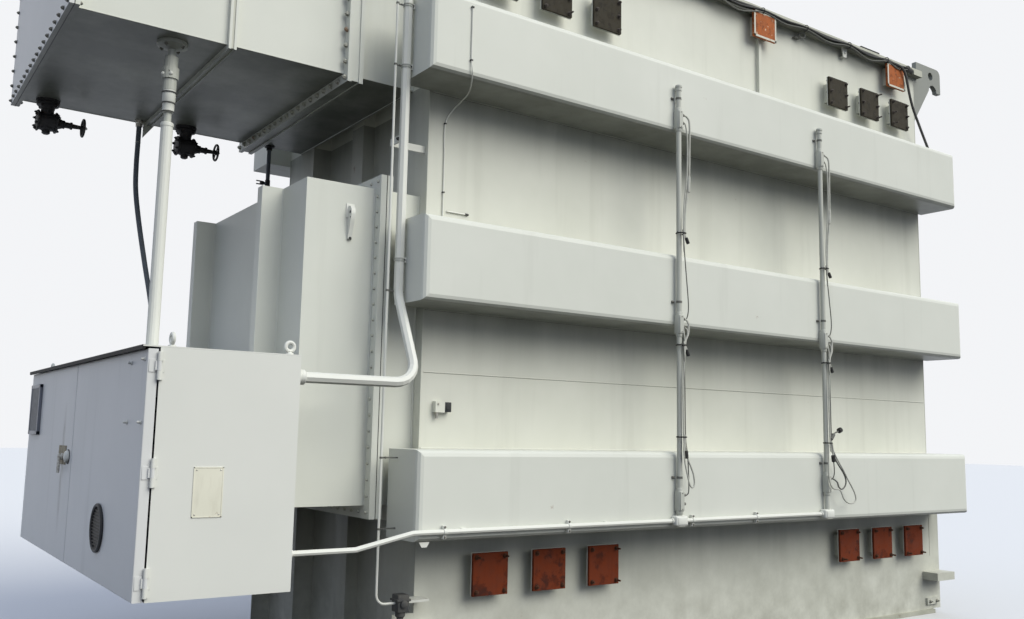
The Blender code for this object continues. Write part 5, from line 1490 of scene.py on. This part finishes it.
@dataclass
class Pipework:
    """Fittings of the pipe, the conduits, the grey hose and the drain stub."""

    frame: dict
    main_axis: tuple[float, float] = (-2.615, -1.128)
    thin_axis: tuple[float, float] = (-2.681, -1.128)
    low_axis: tuple[float, float] = (-1.3571, 0.862)
    box_foot: float = 3.3446
    hose_along: float = 0.78

    def build(self) -> None:
        """Dresses the pipes and conduits."""
        paint_nodes(self.frame, CONDUIT_PAINT, "supply_pipe", "conduit_main", "conduit_low", "conduit_thin",
                    "junction_box")
        paint_nodes(self.frame, RISER_PAINT, "supply_union")
        paint_nodes(self.frame, GREY_HOSE, "drain_stub")
        chance = random.Random(SEED + 4)
        self.union(chance)
        self.main_conduit()
        self.low_conduit(chance)
        self.thin_conduit()
        self.junction(chance)
        self.hose()
        self.drain()

    def union(self, chance: random.Random) -> None:
        """Flange bolts, yoke, bands and collars of the union under the upper box."""
        low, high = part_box("supply_union")
        middle = Vector(((low.x + high.x) / 2, (low.y + high.y) / 2, 0))
        bolts, bands, yoke, collar = Shape(), Shape(), Shape(), Shape()
        for step in range(4):
            angle = math.tau * (step + 0.5) / 4
            place = middle + Vector((math.cos(angle) * 0.06, math.sin(angle) * 0.06, high.z - 0.018))
            bolts.bolt(place, DOWN, 0.01, 0.006, chance.uniform(0, 1))
        for level, radius in ((3.075, 0.0375), (3.019, 0.034), (2.973, 0.0312)):
            bands.turned(middle + Vector((0, 0, level - 0.003)), UP, ((radius, 0.0), (radius, 0.006)), 24)
        yoke.turned(middle + Vector((0, 0, 2.968)), UP,
                    ((0.026, 0.0), (0.03, 0.005), (0.03, 0.048), (0.033, 0.052),
                                                         (0.033, 0.118), (0.028, 0.122)), 24)
        ahead = Vector((-0.7, -0.71, 0.0))
        beside = Vector((0.71, -0.7, 0.0))
        for side in (-1, 1):
            ear = middle + ahead * 0.03 + beside * (side * 0.021)
            yoke.turned(ear + Vector((0, 0, 3.17)), ahead, ((0.011, -0.006), (0.011, 0.008), (0.006, 0.012)),
                        16)
        arch = [middle + ahead * 0.037 + beside * (0.019 * math.cos(math.pi * step / 10))
                + Vector((0, 0, 3.16 + 0.034 * math.sin(math.pi * step / 10))) for step in range(11)]
        bands.tube(arch, 0.0032, 8)
        bolts.piece("union_bolts", GREY_BOLT)
        bands.piece("union_bands", DARK_CABLE)
        yoke.piece("union_yoke", CONDUIT_PAINT)
        pipe_low, pipe_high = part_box("supply_pipe")
        collar.turned((middle.x, middle.y, pipe_low.z - 0.0004), UP,
                      ((0.046, 0.0), (0.046, 0.006), (0.036, 0.01), (0.036, 0.03), (0.032, 0.034)), 24)
        collar.turned((middle.x, middle.y, pipe_high.z - 0.02), UP,
                      ((0.0325, 0.0), (0.0325, 0.016), (0.022, 0.0215)), 24)
        collar.piece("pipe_collars", CONDUIT_PAINT)

    def main_conduit(self) -> None:
        """Locknut, coupling and straps of the main conduit."""
        rings, straps, bolts = Shape(), Shape(), Shape()
        rings.turned((-3.262, -1.366, 1.605), RIGHT,
                     ((0.04, 0.0), (0.04, 0.01), (0.034, 0.014), (0.036, 0.018), (0.036, 0.034),
                      (0.03, 0.04)), 24)
        axis = self.main_axis
        rings.rod((*axis, 4.3), (*axis, 4.35), 0.029, 24, 0.002)
        rings.piece("main_conduit_couplings", CONDUIT_PAINT)
        for level in (2.27, 3.345, 3.695):
            for shift in (-0.006, 0.006):
                straps.rod((*axis, level + shift - 0.003), (*axis, level + shift + 0.003), 0.0284, 24)
            straps.box((-2.6, -1.14, level - 0.009), (-2.5805, -1.116, level + 0.009), 0.002, 1)
            bolts.bolt((-2.594, -1.14, level), FRONT, 0.0065, 0.005)
        bolts.bolt((-2.6195, -1.075, 2.95), LEFT, 0.009, 0.004)
        straps.piece("main_conduit_straps", RISER_PAINT)
        bolts.piece("main_conduit_bolts", DARK_CABLE)

    def low_conduit(self, chance: random.Random) -> None:
        """Saddle clamps, rounded bodies, locknut and screws of the low conduit."""
        along, level = self.low_axis
        saddles, screws = Shape(), Shape()
        for across in (-2.425, -1.62, -0.655, -0.075):
            saddles.rod((across - 0.01, along, level), (across + 0.01, along, level), 0.0165, 18, 0.001)
            saddles.box((across - 0.01, along - 0.002, level - 0.036),
                        (across + 0.01, -1.3372, level + 0.032), 0.003)
            for shift in (-0.027, 0.024):
                screws.bolt((across, along - 0.002, level + shift), FRONT, 0.0055, 0.002,
                            chance.uniform(0, 1))
        for across in (-0.777, 0.635):
            saddles.box((across - 0.05, -1.3915, level - 0.0315), (across + 0.05, -1.3371, level + 0.0315),
                        0.014, 4)
            saddles.box((across - 0.036, -1.3945, level - 0.02), (across + 0.036, -1.3905, level + 0.02),
                        0.0015, 2)
            saddles.rod((across - 0.062, along, level), (across - 0.045, along, level), 0.018, 18, 0.002)
        saddles.turned((-3.262, along, 0.797), RIGHT,
                       ((0.022, 0.0), (0.022, 0.008), (0.018, 0.012), (0.018, 0.024)), 18)
        saddles.piece("low_conduit_saddles", CONDUIT_PAINT)
        screws.piece("low_conduit_screws", GREY_BOLT)

    def thin_conduit(self) -> None:
        """Clips of the thin conduit and the dark socket at its foot."""
        clips = Shape()
        for level in (0.866, 1.227, 2.1, 3.345, 3.695):
            clips.box((-2.682, -1.1225, level - 0.004), (-2.5802, -1.1185, level + 0.004), 0.001, 1)
            clips.rod((*self.thin_axis, level - 0.005), (*self.thin_axis, level + 0.005), 0.009, 12)
            clips.bolt((-2.655, -1.1225, level), FRONT, 0.005, 0.003)
        clips.piece("thin_conduit_clips", GREY_CABLE)
        socket = Shape()
        socket.box((-2.573, -1.164, 0.446), (-2.507, -1.092, 0.534), 0.006)
        socket.box((-2.58, -1.17, 0.5), (-2.5, -1.086, 0.512), 0.003)
        socket.turned((-2.54, -1.128, 0.446), DOWN,
                      ((0.026, 0.0), (0.026, 0.022), (0.018, 0.03), (0.018, 0.044)), 16)
        socket.turned((-2.54, -1.164, 0.488), FRONT, ((0.02, 0.0), (0.02, 0.01), (0.014, 0.014)), 16)
        socket.piece("corner_socket", DARK_CABLE)

    def junction(self, chance: random.Random) -> None:
        """Lid, screws and glands of the junction box on the cover."""
        low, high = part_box("junction_box")
        lid, screws = Shape(), Shape()
        lid.box((low.x - 0.004, low.y - 0.004, high.z - 0.022),
                (high.x + 0.004, high.y + 0.004, high.z + 0.003), 0.003)
        lid.turned((high.x - 0.0005, -0.845, 4.655), RIGHT,
                   ((0.024, 0.0), (0.024, 0.012), (0.018, 0.018), (0.018, 0.028)), 12)
        lid.turned((-2.12, low.y + 0.0005, 4.685), FRONT, ((0.036, 0.0), (0.036, 0.012), (0.03, 0.016)), 18)
        lid.piece("junction_lid", CONDUIT_PAINT)
        for across in (low.x + 0.018, high.x - 0.018):
            for along in (low.y + 0.018, high.y - 0.018):
                screws.bolt((across, along, high.z + 0.003), UP, 0.006, 0.0, chance.uniform(0, 1))
        screws.piece("junction_screws", ZINC)

    def hose(self) -> None:
        """Grey hose from the upper box to the cabinet's roof, with a gland at each end."""
        knots = ((-3.545, 3.3445), (-3.545, 3.2), (-3.545, 3.04), (-3.537, 2.88), (-3.505, 2.68),
                 (-3.452, 2.42), (-3.4, 2.18), (-3.362, 1.96), (-3.35, 1.83), (-3.35, 1.705))
        middle, foot = self.hose_along, self.box_foot
        route = smooth_route([(across, middle, level) for across, level in knots], 8)
        hose = Shape().tube(route, 0.016, 16).piece("grey_hose", GREY_HOSE, "tank", ("flexible_conduit",))
        glands = Shape()
        glands.turned((-3.545, middle, foot), DOWN,
                      ((0.028, 0.0), (0.028, 0.014), (0.022, 0.02), (0.022, 0.04)), 8)
        glands.turned((-3.35, middle, 1.7044), UP,
                      ((0.03, 0.0), (0.03, 0.014), (0.022, 0.022), (0.022, 0.05)), 8)
        glands.loop((-3.545, middle, 3.2), UP, 0.0165, 0.0016, 20, 6)
        glands.piece("hose_glands", ZINC)
        brace = Shape()
        brace.slab(((-3.52, 0.774, foot), (-3.44, 0.774, foot), (-3.52, 0.774, 3.236)), (0, 0.01, 0))
        brace.piece("hose_brace", RISER_PAINT)

    def drain(self) -> None:
        """Flange, elbow cap and two-pronged tap of the drain stub."""
        tap, middle = Shape(), self.hose_along
        tap.turned((-2.66, middle, 3.3445), DOWN, ((0.034, 0.0), (0.034, 0.01), (0.02, 0.014), (0.02, 0.03)),
                   16)
        tap.rod((-2.66, middle, 3.046), (-2.66, middle, 3.1), 0.0175, 16, 0.003)
        tap.rod((-2.69, middle, 3.073), (-2.712, middle, 3.073), 0.015, 16, 0.002)
        for shift in (-0.011, 0.011):
            tap.box((-2.742, 0.776, 3.073 + shift - 0.004), (-2.706, 0.784, 3.073 + shift + 0.004), 0.002)
        tap.piece("drain_tap", BLACK_IRON)


@dataclass
class Riser:
    """One upright conduit: pipe, rounded bodies, glands, hanging leads, ties and connectors."""

    name: str
    pipe: str
    replaced: str
    across: float
    ties: tuple[float, ...]
    looped: bool = False
    axis: float = -1.3658
    depth: float = -1.387
    pipe_radius: float = 0.0165
    body_half: float = 0.0205
    body_long: float = 0.13
    foot: float = 0.892
    head: float = 3.58
    fitting_tops: tuple[float, ...] = (3.43, 2.12, 1.045)
    thick_lead: float = 0.0062
    lead_radius: float = 0.005
    link_radius: float = 0.0036

    def build(self) -> None:
        """Dresses the riser."""
        self.fittings()
        self.glands()
        self.upper_leads()
        self.foot_leads()
        ties = Shape()
        for level in self.ties:
            ties.loop((self.across + 0.008, -1.3755, level), UP, 0.03, 0.0042, 24, 8)
            ties.rod((self.across - 0.022, -1.385, level), (self.across - 0.04, -1.392, level + 0.004),
                     0.0025, 6)
        ties.piece(f"{self.name}_ties", BLACK_RUBBER)

    def fittings(self) -> None:
        """Pipe with its cap, rounded bodies, couplings, cover plates and clamps."""
        metal, screws, straps = Shape(), Shape(), Shape()
        across, axis = self.across, self.axis
        metal.rod((across, axis, self.foot), (across, axis, self.head), self.pipe_radius, 20)
        metal.turned((across, axis, self.head - 0.024), UP,
                     ((0.02, 0.0), (0.02, 0.02), (0.0225, 0.022), (0.0225, 0.034), (0.016, 0.04)), 16)
        for top in self.fitting_tops:
            foot = top - self.body_long
            metal.box((across - self.body_half, axis - 0.0225, foot),
                      (across + self.body_half, -1.3371, top), 0.012, 3)
            metal.box((across - 0.016, axis - 0.0255, foot + 0.01),
                      (across + 0.016, axis - 0.0215, top - 0.01), 0.0012, 1)
            for end, ahead in ((top, UP), (foot, DOWN)):
                metal.turned((across, axis, end), ahead, ((0.0205, -0.01), (0.0205, 0.01), (0.018, 0.014)),
                             16)
            for level in (top - 0.018, foot + 0.018):
                screws.turned((across, axis - 0.0255, level), FRONT, ((0.004, -0.001), (0.0034, 0.002)), 10)
            strap = top + 0.075
            straps.rod((across, axis, strap - 0.007), (across, axis, strap + 0.007), 0.0182, 16)
            for side in (-1, 1):
                straps.box((across + side * 0.03 - 0.012, -1.3445, strap - 0.008),
                           (across + side * 0.03 + 0.012, -1.3371, strap + 0.008), 0.002, 1)
                screws.bolt((across + side * 0.032, -1.3445, strap), FRONT, 0.006, 0.005)
        metal.piece(f"{self.name}_fittings", RISER_PAINT, "tank", (self.pipe,))
        straps.piece(f"{self.name}_straps", GREY_CABLE)
        screws.piece(f"{self.name}_screws", GREY_BOLT)

    def glands(self) -> None:
        """Dark glands on the bodies' right sides."""
        nuts = Shape()
        for top in self.fitting_tops:
            for level in (top - 0.03, top - 0.082):
                nuts.turned((self.across + self.body_half - 0.003, self.depth + 0.014, level), RIGHT,
                            ((0.012, 0.0), (0.012, 0.01), (0.009, 0.013), (0.009, 0.02)), 12)
        nuts.piece(f"{self.name}_glands", GLAND_GREY)

    def lead(self, name: str, knots: Sequence[Point], radius: float, finish: Finish,
             end: Finish | None = None, size: tuple[float, float] = (0.0125, 0.05)) -> None:
        """Args:
            name: The piece's name.
            knots: Points that it passes, from its exit on.
            radius: Its radius.
            finish: Its surface.
            end: Finish of the connector on its far end, or None where it goes back into the object.
            size: The connector's radius and length.
        """
        route = smooth_route(knots, 7)
        made = Shape().tube(route, radius, 10).piece(f"{self.name}_{name}", finish, "tank", (self.replaced,))
        if end is not None:
            ahead = (route[-1] - route[-2]).normalized()
            plug = Shape().rod(route[-1] - ahead * 0.008, route[-1] + ahead * (size[1] - 0.008), size[0], 14,
                               size[0] * 0.3)
            plug.piece(f"{self.name}_{name}_connector", end)

    def upper_leads(self) -> None:
        """Leads from the two upper bodies' glands down to the ties, and thin ones on to the next body."""
        middle = self.across
        side, front = middle + self.body_half + 0.016, self.depth
        for number, top in enumerate(self.fitting_tops[:2]):
            tie, after = self.ties[number], self.fitting_tops[number + 1]
            upper, lower = top - 0.03, top - 0.082
            drop, fall = upper - tie, lower - tie
            reach = min(0.038, drop * 0.14)
            self.lead(f"lead_{number}_outer",
                      ((side, front + 0.014, upper),
                       (side + reach * 0.6, front + 0.01, upper - reach * 0.15),
                       (side + reach, front, upper - reach * 1.3),
                       (side + reach, front, upper - drop * 0.28),
                       (side + reach * 0.7, front - 0.004, upper - drop * 0.55),
                       (middle + 0.03, front - 0.006, tie + drop * 0.2),
                       (middle + 0.022, front - 0.008, tie), (middle + 0.034, front - 0.01, tie - 0.035)),
                      self.thick_lead, PALE_CABLE, BLACK_RUBBER, (0.011, 0.042))
            self.lead(f"lead_{number}_inner",
                      ((side, front + 0.014, lower),
                       (side + reach * 0.3, front + 0.008, lower - reach * 0.3),
                       (side + reach * 0.5, front, lower - fall * 0.15),
                       (side + reach * 0.35, front - 0.002, lower - fall * 0.45),
                       (middle + 0.018, front - 0.004, tie + fall * 0.2),
                       (middle + 0.01, front - 0.011, tie),
                       (middle + 0.014, front - 0.01, tie - 0.12)), self.lead_radius, PALE_CABLE)
            bend = [(middle + 0.028, front - 0.012, (tie + after) / 2),
                    (middle + 0.05, front - 0.008, after + 0.08)]
            if number == 1:
                bend = [(middle + 0.014, front - 0.012, (tie + self.ties[2]) / 2),
                        (middle + 0.018, front - 0.012, self.ties[2]),
                        (middle + 0.04, front - 0.008, self.ties[2] - 0.12)]
            self.lead(f"link_{number}",
                      ((middle + 0.002, front - 0.01, tie + 0.02),
                       (middle + 0.01, front - 0.012, tie - 0.08), *bend,
                       (middle + 0.056, front, after + 0.01), (side + 0.014, front + 0.01, after - 0.028),
                       (side, front + 0.014, after - 0.03)), self.link_radius, GREY_CABLE)
            if number == 0:
                sleeve, level = Shape(), top - 0.43
                sleeve.rod((side + 0.026, front - 0.004, level), (side + 0.02, front - 0.004, level - 0.105),
                           0.0125, 14, 0.003)
                sleeve.piece(f"{self.name}_sleeve", PALE_CABLE)

    def foot_leads(self) -> None:
        """Slack of the lowest leads in front of the lower band, and what hangs at the lowest tie."""
        centre = self.across
        tie, near = self.ties[2], self.depth - 0.01
        side, gland = centre + self.body_half + 0.016, self.fitting_tops[2] - 0.03
        middle, drop = self.fitting_tops[1] - self.body_long, 0.026 if self.looped else 0.016
        self.lead("lower_outer",
                  ((centre + 0.014, self.depth, middle + 0.04), (centre + 0.018, near, middle - 0.07),
                   (centre + 0.002, near, (middle + tie) / 2), (centre + 0.004, near, tie + 0.04),
                   (centre + 0.006, near - 0.004, tie - 0.06)), self.lead_radius, PALE_CABLE)
        self.lead("tie_drop",
                  ((centre + 0.014, near, tie + 0.015), (centre + drop * 0.8, near - 0.004, tie - 0.04),
                   (centre + drop, near - 0.006, tie - 0.09)), self.lead_radius, PALE_CABLE, BLACK_RUBBER,
                  (0.014, 0.048))
        if self.looped:
            reach = [(0.65, 1.335), (0.662, 1.278), (0.712, 1.208), (0.778, 1.138), (0.804, 1.085),
                     (0.79, 1.046), (0.752, 1.028), (0.722, 1.046), (0.705, 1.078)]
            big = [(0.612, 1.335), (0.608, 1.24), (0.604, 1.15), (0.616, 1.08), (0.65, 1.036),
                   (0.726, 1.022),
                   (0.765, 0.962), (0.815, 0.934), (0.872, 0.932), (0.9, 0.956), (0.89, 0.996), (0.86, 1.04),
                   (0.812, 1.098), (0.766, 1.16), (0.712, 1.222), (0.664, 1.288), (0.652, 1.338)]
            self.lead("slack_inner", [(across, near, level) for across, level in reach]
                      + [(side + 0.008, self.depth + 0.006, gland),
                         (side - 0.004, self.depth + 0.014, gland)],
                      self.lead_radius, GREY_CABLE)
            self.lead("slack_outer", [(across, near - 0.008, level) for across, level in big],
                      self.lead_radius, PALE_CABLE)
            self.lead("stray", ((centre + 0.008, near, 1.34), (0.652, near, 1.374), (0.684, near, 1.408),
                                (0.714, near, 1.42), (0.74, near, 1.43)), self.lead_radius, GREY_CABLE,
                      BLACK_RUBBER, (0.018, 0.034))
            boot = Shape()
            boot.rod((0.648, near, 1.368), (0.682, near, 1.406), 0.013, 14, 0.004)
            boot.piece(f"{self.name}_boot", GREY_CABLE)
        else:
            loop = [(0.002, -0.01), (-0.002, -0.09), (0.008, -0.16), (0.028, -0.232), (0.044, -0.28),
                    (0.062, -0.302), (0.08, -0.296), (0.086, -0.268), (0.074, -0.214), (0.036, -0.142)]
            self.lead("slack_outer", [(centre + out, near - 0.008, tie + fall) for out, fall in loop],
                      self.lead_radius, PALE_CABLE)


@dataclass
class RimCables:
    """Bundle of cables along the cover's rim, with its ties, its boot and its tail."""

    clips: tuple[float, ...] = (-1.62, -0.95, -0.2, 0.36, 0.86, 1.396, 1.9, 2.2)
    middle: float = -1.089
    level: float = 4.512

    def build(self) -> None:
        """Lays the cables side by side."""
        chance = random.Random(SEED + 5)
        lays = ((0.0, 0.01, 0.0105, 0.022), (-0.016, 0.004, 0.0065, 0.036), (-0.003, -0.014, 0.006, 0.052),
                (-0.016, -0.012, 0.005, 0.064))
        finishes = (DARK_CABLE, DARK_CABLE, GREY_CABLE, GREY_CABLE)
        for number, ((out, lift, radius, sag), finish) in enumerate(zip(lays, finishes)):
            self.cable(number, out, lift, radius, sag, finish, chance)
        bands, boot, eye = Shape(), Shape(), Shape()
        for place in self.clips:
            bands.loop((place, self.middle - 0.0075, self.level), RIGHT, 0.0235, 0.003, 22, 6)
        bands.piece("rim_ties", BLACK_RUBBER)
        boot.rod((2.185, self.middle - 0.01, self.level - 0.004),
                 (2.262, self.middle - 0.006, self.level - 0.01), 0.022, 16, 0.008)
        boot.piece("rim_boot", DARK_CABLE)
        eye.loop((0.852, -1.066, 4.462), (-0.4, -0.9, 0), 0.024, 0.0055, 20, 8)
        eye.box((0.79, -1.05, 4.44), (0.85, -1.0195, 4.448), 0.001, 1)
        eye.piece("rim_eye", GREY_CABLE)
        strip, gasket = Shape(), Shape()
        strip.box((1.6, -1.07, 4.5552), (1.85, -1.04, 4.572), 0.003)
        strip.piece("rim_dark_strip", BLACK_STRIP_AND_SHADOW)
        # Dark green-black strip along the rim's lower front edge: painted shade under the rim's overhang,
        # over a dirty gasket line.
        gasket.box((-2.3, -1.0768, 4.4985), (2.33, -1.074, 4.534))
        gasket.piece("rim_joint_line", RIM_GASKET_AND_SHADE)

    def cable(self, number: int, out: float, lift: float, radius: float, sag: float, finish: Finish,
              chance: random.Random) -> None:
        """Adds one cable of the bundle.

        Args:
            number: Which cable.
            out: How far it lies out from the rim.
            lift: How far it lies above the bundle's middle.
            radius: Its radius.
            sag: How far it hangs down between two ties.
            finish: Its surface.
            chance: Source of small differences.
        """
        depth, level = self.middle + out, self.level + lift
        knots = [(-1.969, -0.845 + out / 2, 4.655 + lift / 2), (-1.86, -0.85 + out, 4.655 + lift / 2),
                 (-1.765, -0.93 + out, 4.65 + lift), (-1.725, -1.03 + out, 4.64 + lift),
                 (-1.71, depth - 0.004, 4.585 + lift / 2)]
        for start, end in zip(self.clips, self.clips[1:]):
            drop = sag * chance.uniform(0.4, 1.15) * min(1.0, (end - start) / 0.6)
            knots += [(start, depth, level), (start * 0.5 + end * 0.5, depth - 0.003, level - drop)]
        knots.append((self.clips[-1], depth, level))
        if number > 0:
            knots.append((self.clips[-1] + 0.045, depth, level - 0.004))
            Shape().tube(smooth_route(knots, 6), radius, 10).piece(f"rim_cable_{number}", finish, "tank",
                                                                   ("edge_cable",))
            return
        del knots[-3:]
        knots += [(2.0, depth - 0.018, 4.505), (2.095, -1.122, 4.475), (2.14, -1.124, 4.4),
                  (2.18, -1.12, 4.28),
                  (2.228, -1.118, 4.165), (2.305, -1.118, 4.04), (2.385, -1.114, 3.93), (2.45, -1.112, 3.84)]
        route = smooth_route(knots, 6)
        cable = Shape().tube(route, radius, 12).piece("rim_cable_0", finish, "tank", ("edge_cable",))
        ahead = (route[-1] - route[-2]).normalized()
        plug = Shape().rod(route[-1] - ahead * 0.01, route[-1] + ahead * 0.05, 0.015, 16, 0.004)
        end = plug.piece("rim_cable_connector", BLACK_RUBBER)


@dataclass
class Valves:
    """Cast details of the two drain valves and their handwheels."""

    frame: dict
    columns: tuple[float, ...] = (-4.1, -3.26)
    along: float = 0.725
    level: float = 3.2107
    top: float = 3.3265

    def build(self) -> None:
        """Dresses both valves."""
        chance = random.Random(SEED + 6)
        for number, across in enumerate(self.columns, 1):
            paint_nodes(self.frame, BLACK_IRON, f"valve_{number}", f"handwheel_{number}")
            self.body(number, across, chance)

    def body(self, number: int, across: float, chance: random.Random) -> None:
        """Adds flanges, bolts, boss, gland and wheel nut of one valve.

        Args:
            number: Which valve.
            across: Where its middle is along X.
            chance: Source of the nuts' angles.
        """
        iron, bolts = Shape(), Shape()
        top = self.top
        iron.turned((across, self.along, top), DOWN,
                    ((0.06, 0.0), (0.064, 0.004), (0.064, 0.016), (0.042, 0.024), (0.04, 0.04)), 20)
        iron.turned((across, self.along, self.level), DOWN,
                    ((0.046, 0.0), (0.04, 0.05), (0.024, 0.06), (0.024, 0.074), (0.016, 0.08)), 16)
        for side, ahead in ((-1, LEFT), (1, RIGHT)):
            iron.turned((across + side * 0.044, self.along, self.level), ahead,
                        ((0.06, 0.0), (0.065, 0.003), (0.065, 0.011), (0.06, 0.014)), 24)
            for step in range(6):
                angle = math.tau * (step + 0.5) / 6
                place = (across + side * 0.058, self.along + math.cos(angle) * 0.051,
                         self.level + math.sin(angle) * 0.051)
                bolts.bolt(place, ahead, 0.0085, 0.005, chance.uniform(0, 1))
        for step in range(4):
            angle = math.tau * (step + 0.5) / 4
            bolts.bolt((across + math.cos(angle) * 0.054, self.along + math.sin(angle) * 0.054, top - 0.016),
                       DOWN, 0.0085, 0.006)
        iron.turned((across + 0.055, self.along, self.level), RIGHT,
                    ((0.036, 0.0), (0.032, 0.02), (0.026, 0.034), (0.026, 0.046), (0.019, 0.05),
                                                                     (0.019, 0.078), (0.023, 0.08),
                     (0.023, 0.09), (0.014, 0.094)), 20)
        iron.piece(f"valve_{number}_casting", BLACK_IRON)
        bolts.piece(f"valve_{number}_bolts", BLACK_IRON)
        nut = Shape()
        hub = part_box(f"handwheel_{number}")[1].x
        nut.turned((hub, self.along, self.level), RIGHT, ((0.01, -0.002), (0.01, 0.006), (0.0085, 0.008)), 6)
        nut.turned((hub, self.along, self.level), RIGHT, ((0.005, 0.006), (0.005, 0.012), (0.004, 0.013)), 8)
        nut.piece(f"handwheel_{number}_nut", ZINC, f"wheel_{number}")


@dataclass
class Studio:
    """Pale floor, pale surroundings, soft lamps and the photograph's camera."""

    floor_half: float = 60.0
    place: tuple[float, float, float] = (-5.019, -5.62, 1.355)
    lens: float = 33.83
    right: tuple[float, float, float] = (0.8177568, -0.57523143, 0.01956076)
    above: tuple[float, float, float] = (0.0903643, 0.09475082, -0.99139123)
    ahead: tuple[float, float, float] = (0.568426, 0.81248451, 0.12946352)
    horizon: float = 0.4
    zenith: float = 0.95
    sun: tuple[float, float, float] = (0.32, -0.7, 0.64)
    sun_energy: float = 2.86

    def build_camera(self) -> None:
        """Puts the camera where the photograph was taken."""
        lens = bpy.data.cameras.new("camera")
        lens.lens = self.lens
        lens.sensor_width = 36.0
        lens.clip_end = 200.0
        camera = bpy.data.objects.new("camera", lens)
        bpy.context.scene.collection.objects.link(camera)
        axes = Matrix((self.right, [-value for value in self.above],
                       [-value for value in self.ahead])).transposed()
        camera.matrix_world = Matrix.Translation(self.place) @ axes.to_4x4()
        bpy.context.scene.camera = camera

    def seen(self, graph: Graph) -> Socket:
        """Returns 1 for rays that show the background: camera, glossy and transmission rays."""
        path = graph.node("ShaderNodeLightPath")
        shown = graph.maths("MAXIMUM", path.outputs["Is Camera Ray"], path.outputs["Is Glossy Ray"])
        return graph.maths("MAXIMUM", shown, path.outputs["Is Transmission Ray"])

    def build_floor(self) -> None:
        """Lays the floor: pale where it is seen, darker for the light that it throws back."""
        shape = bmesh.new()
        corners = [(-1, -1), (1, -1), (1, 1), (-1, 1)]
        shape.faces.new([shape.verts.new((across * self.floor_half, along * self.floor_half, -0.001))
                         for across, along in corners])
        mesh = bpy.data.meshes.new("floor")
        shape.to_mesh(mesh)
        shape.free()
        material = bpy.data.materials.new("studio_floor")
        material.use_nodes = True
        graph = Graph(material.node_tree)
        shader = material.node_tree.nodes["Principled BSDF"]
        shader.inputs["Roughness"].default_value = 0.95
        colour = graph.blend(self.seen(graph), (0.04, 0.04, 0.038, 1), (0.66, 0.66, 0.66, 1))
        graph.feed(shader.inputs["Base Color"], colour)
        mesh.materials.append(material)
        floor = bpy.data.objects.new("floor", mesh)
        bpy.context.scene.collection.objects.link(floor)

    def build_light(self) -> None:
        """Lights the object with a bluish sky, dimmer at the horizon, and one soft lamp from the front."""
        world = bpy.data.worlds.new("studio")
        bpy.context.scene.world = world
        world.use_nodes = True
        graph = Graph(world.node_tree)
        back = world.node_tree.nodes["Background"]
        upward = graph.axes(graph.node("ShaderNodeTexCoord").outputs["Generated"])["Z"]
        sky = graph.remap(upward, 0.0, 0.8, self.horizon, self.zenith)
        graph.feed(back.inputs["Color"], graph.blend(self.seen(graph), (0.7, 0.8, 1.02, 1),
                                                     (0.9, 0.91, 0.93, 1)))
        graph.feed(back.inputs["Strength"], graph.remap(self.seen(graph), 0.0, 1.0, sky, 1.0))
        lamp = bpy.data.lights.new("soft_key", "SUN")
        lamp.energy = self.sun_energy
        lamp.angle = math.radians(50)
        lamp.color = (1.0, 0.98, 0.87)
        key = bpy.data.objects.new("soft_key", lamp)
        bpy.context.scene.collection.objects.link(key)
        key.rotation_euler = Vector(self.sun).to_track_quat("Z", "Y").to_euler()

    def build(self) -> None:
        """Makes the floor and the light, and sets how the picture is shown."""
        self.build_floor()
        self.build_light()
        bpy.context.scene.view_settings.view_transform = "Standard"


def main() -> None:
    """Dresses the frame piece by piece."""
    logging.basicConfig(level=logging.INFO, format="%(name)s %(message)s")
    for old in [thing for thing in bpy.data.objects if thing.type in {"MESH", "LIGHT", "CAMERA"}]:
        bpy.data.objects.remove(old, do_unlink=True)
    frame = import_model()
    EffectLibrary().build()
    studio = Studio()
    studio.build_camera()
    Pipework(frame).build()
    Riser("left_riser", "riser_left", "lead_left", -0.777, (2.629, 1.926, 1.364)).build()
    Riser("right_riser", "riser_right", "lead_right", 0.635, (2.568, 1.898, 1.344), True,
          fitting_tops=(3.43, 2.12, 1.13)).build()
    RimCables().build()
    Tank(frame).build()
    UpperBox(frame).build()
    SideCompartment(frame).build()
    Cabinet(frame).build()
    Valves(frame).build()
    studio.build()


if __name__ == "__main__":
    main()
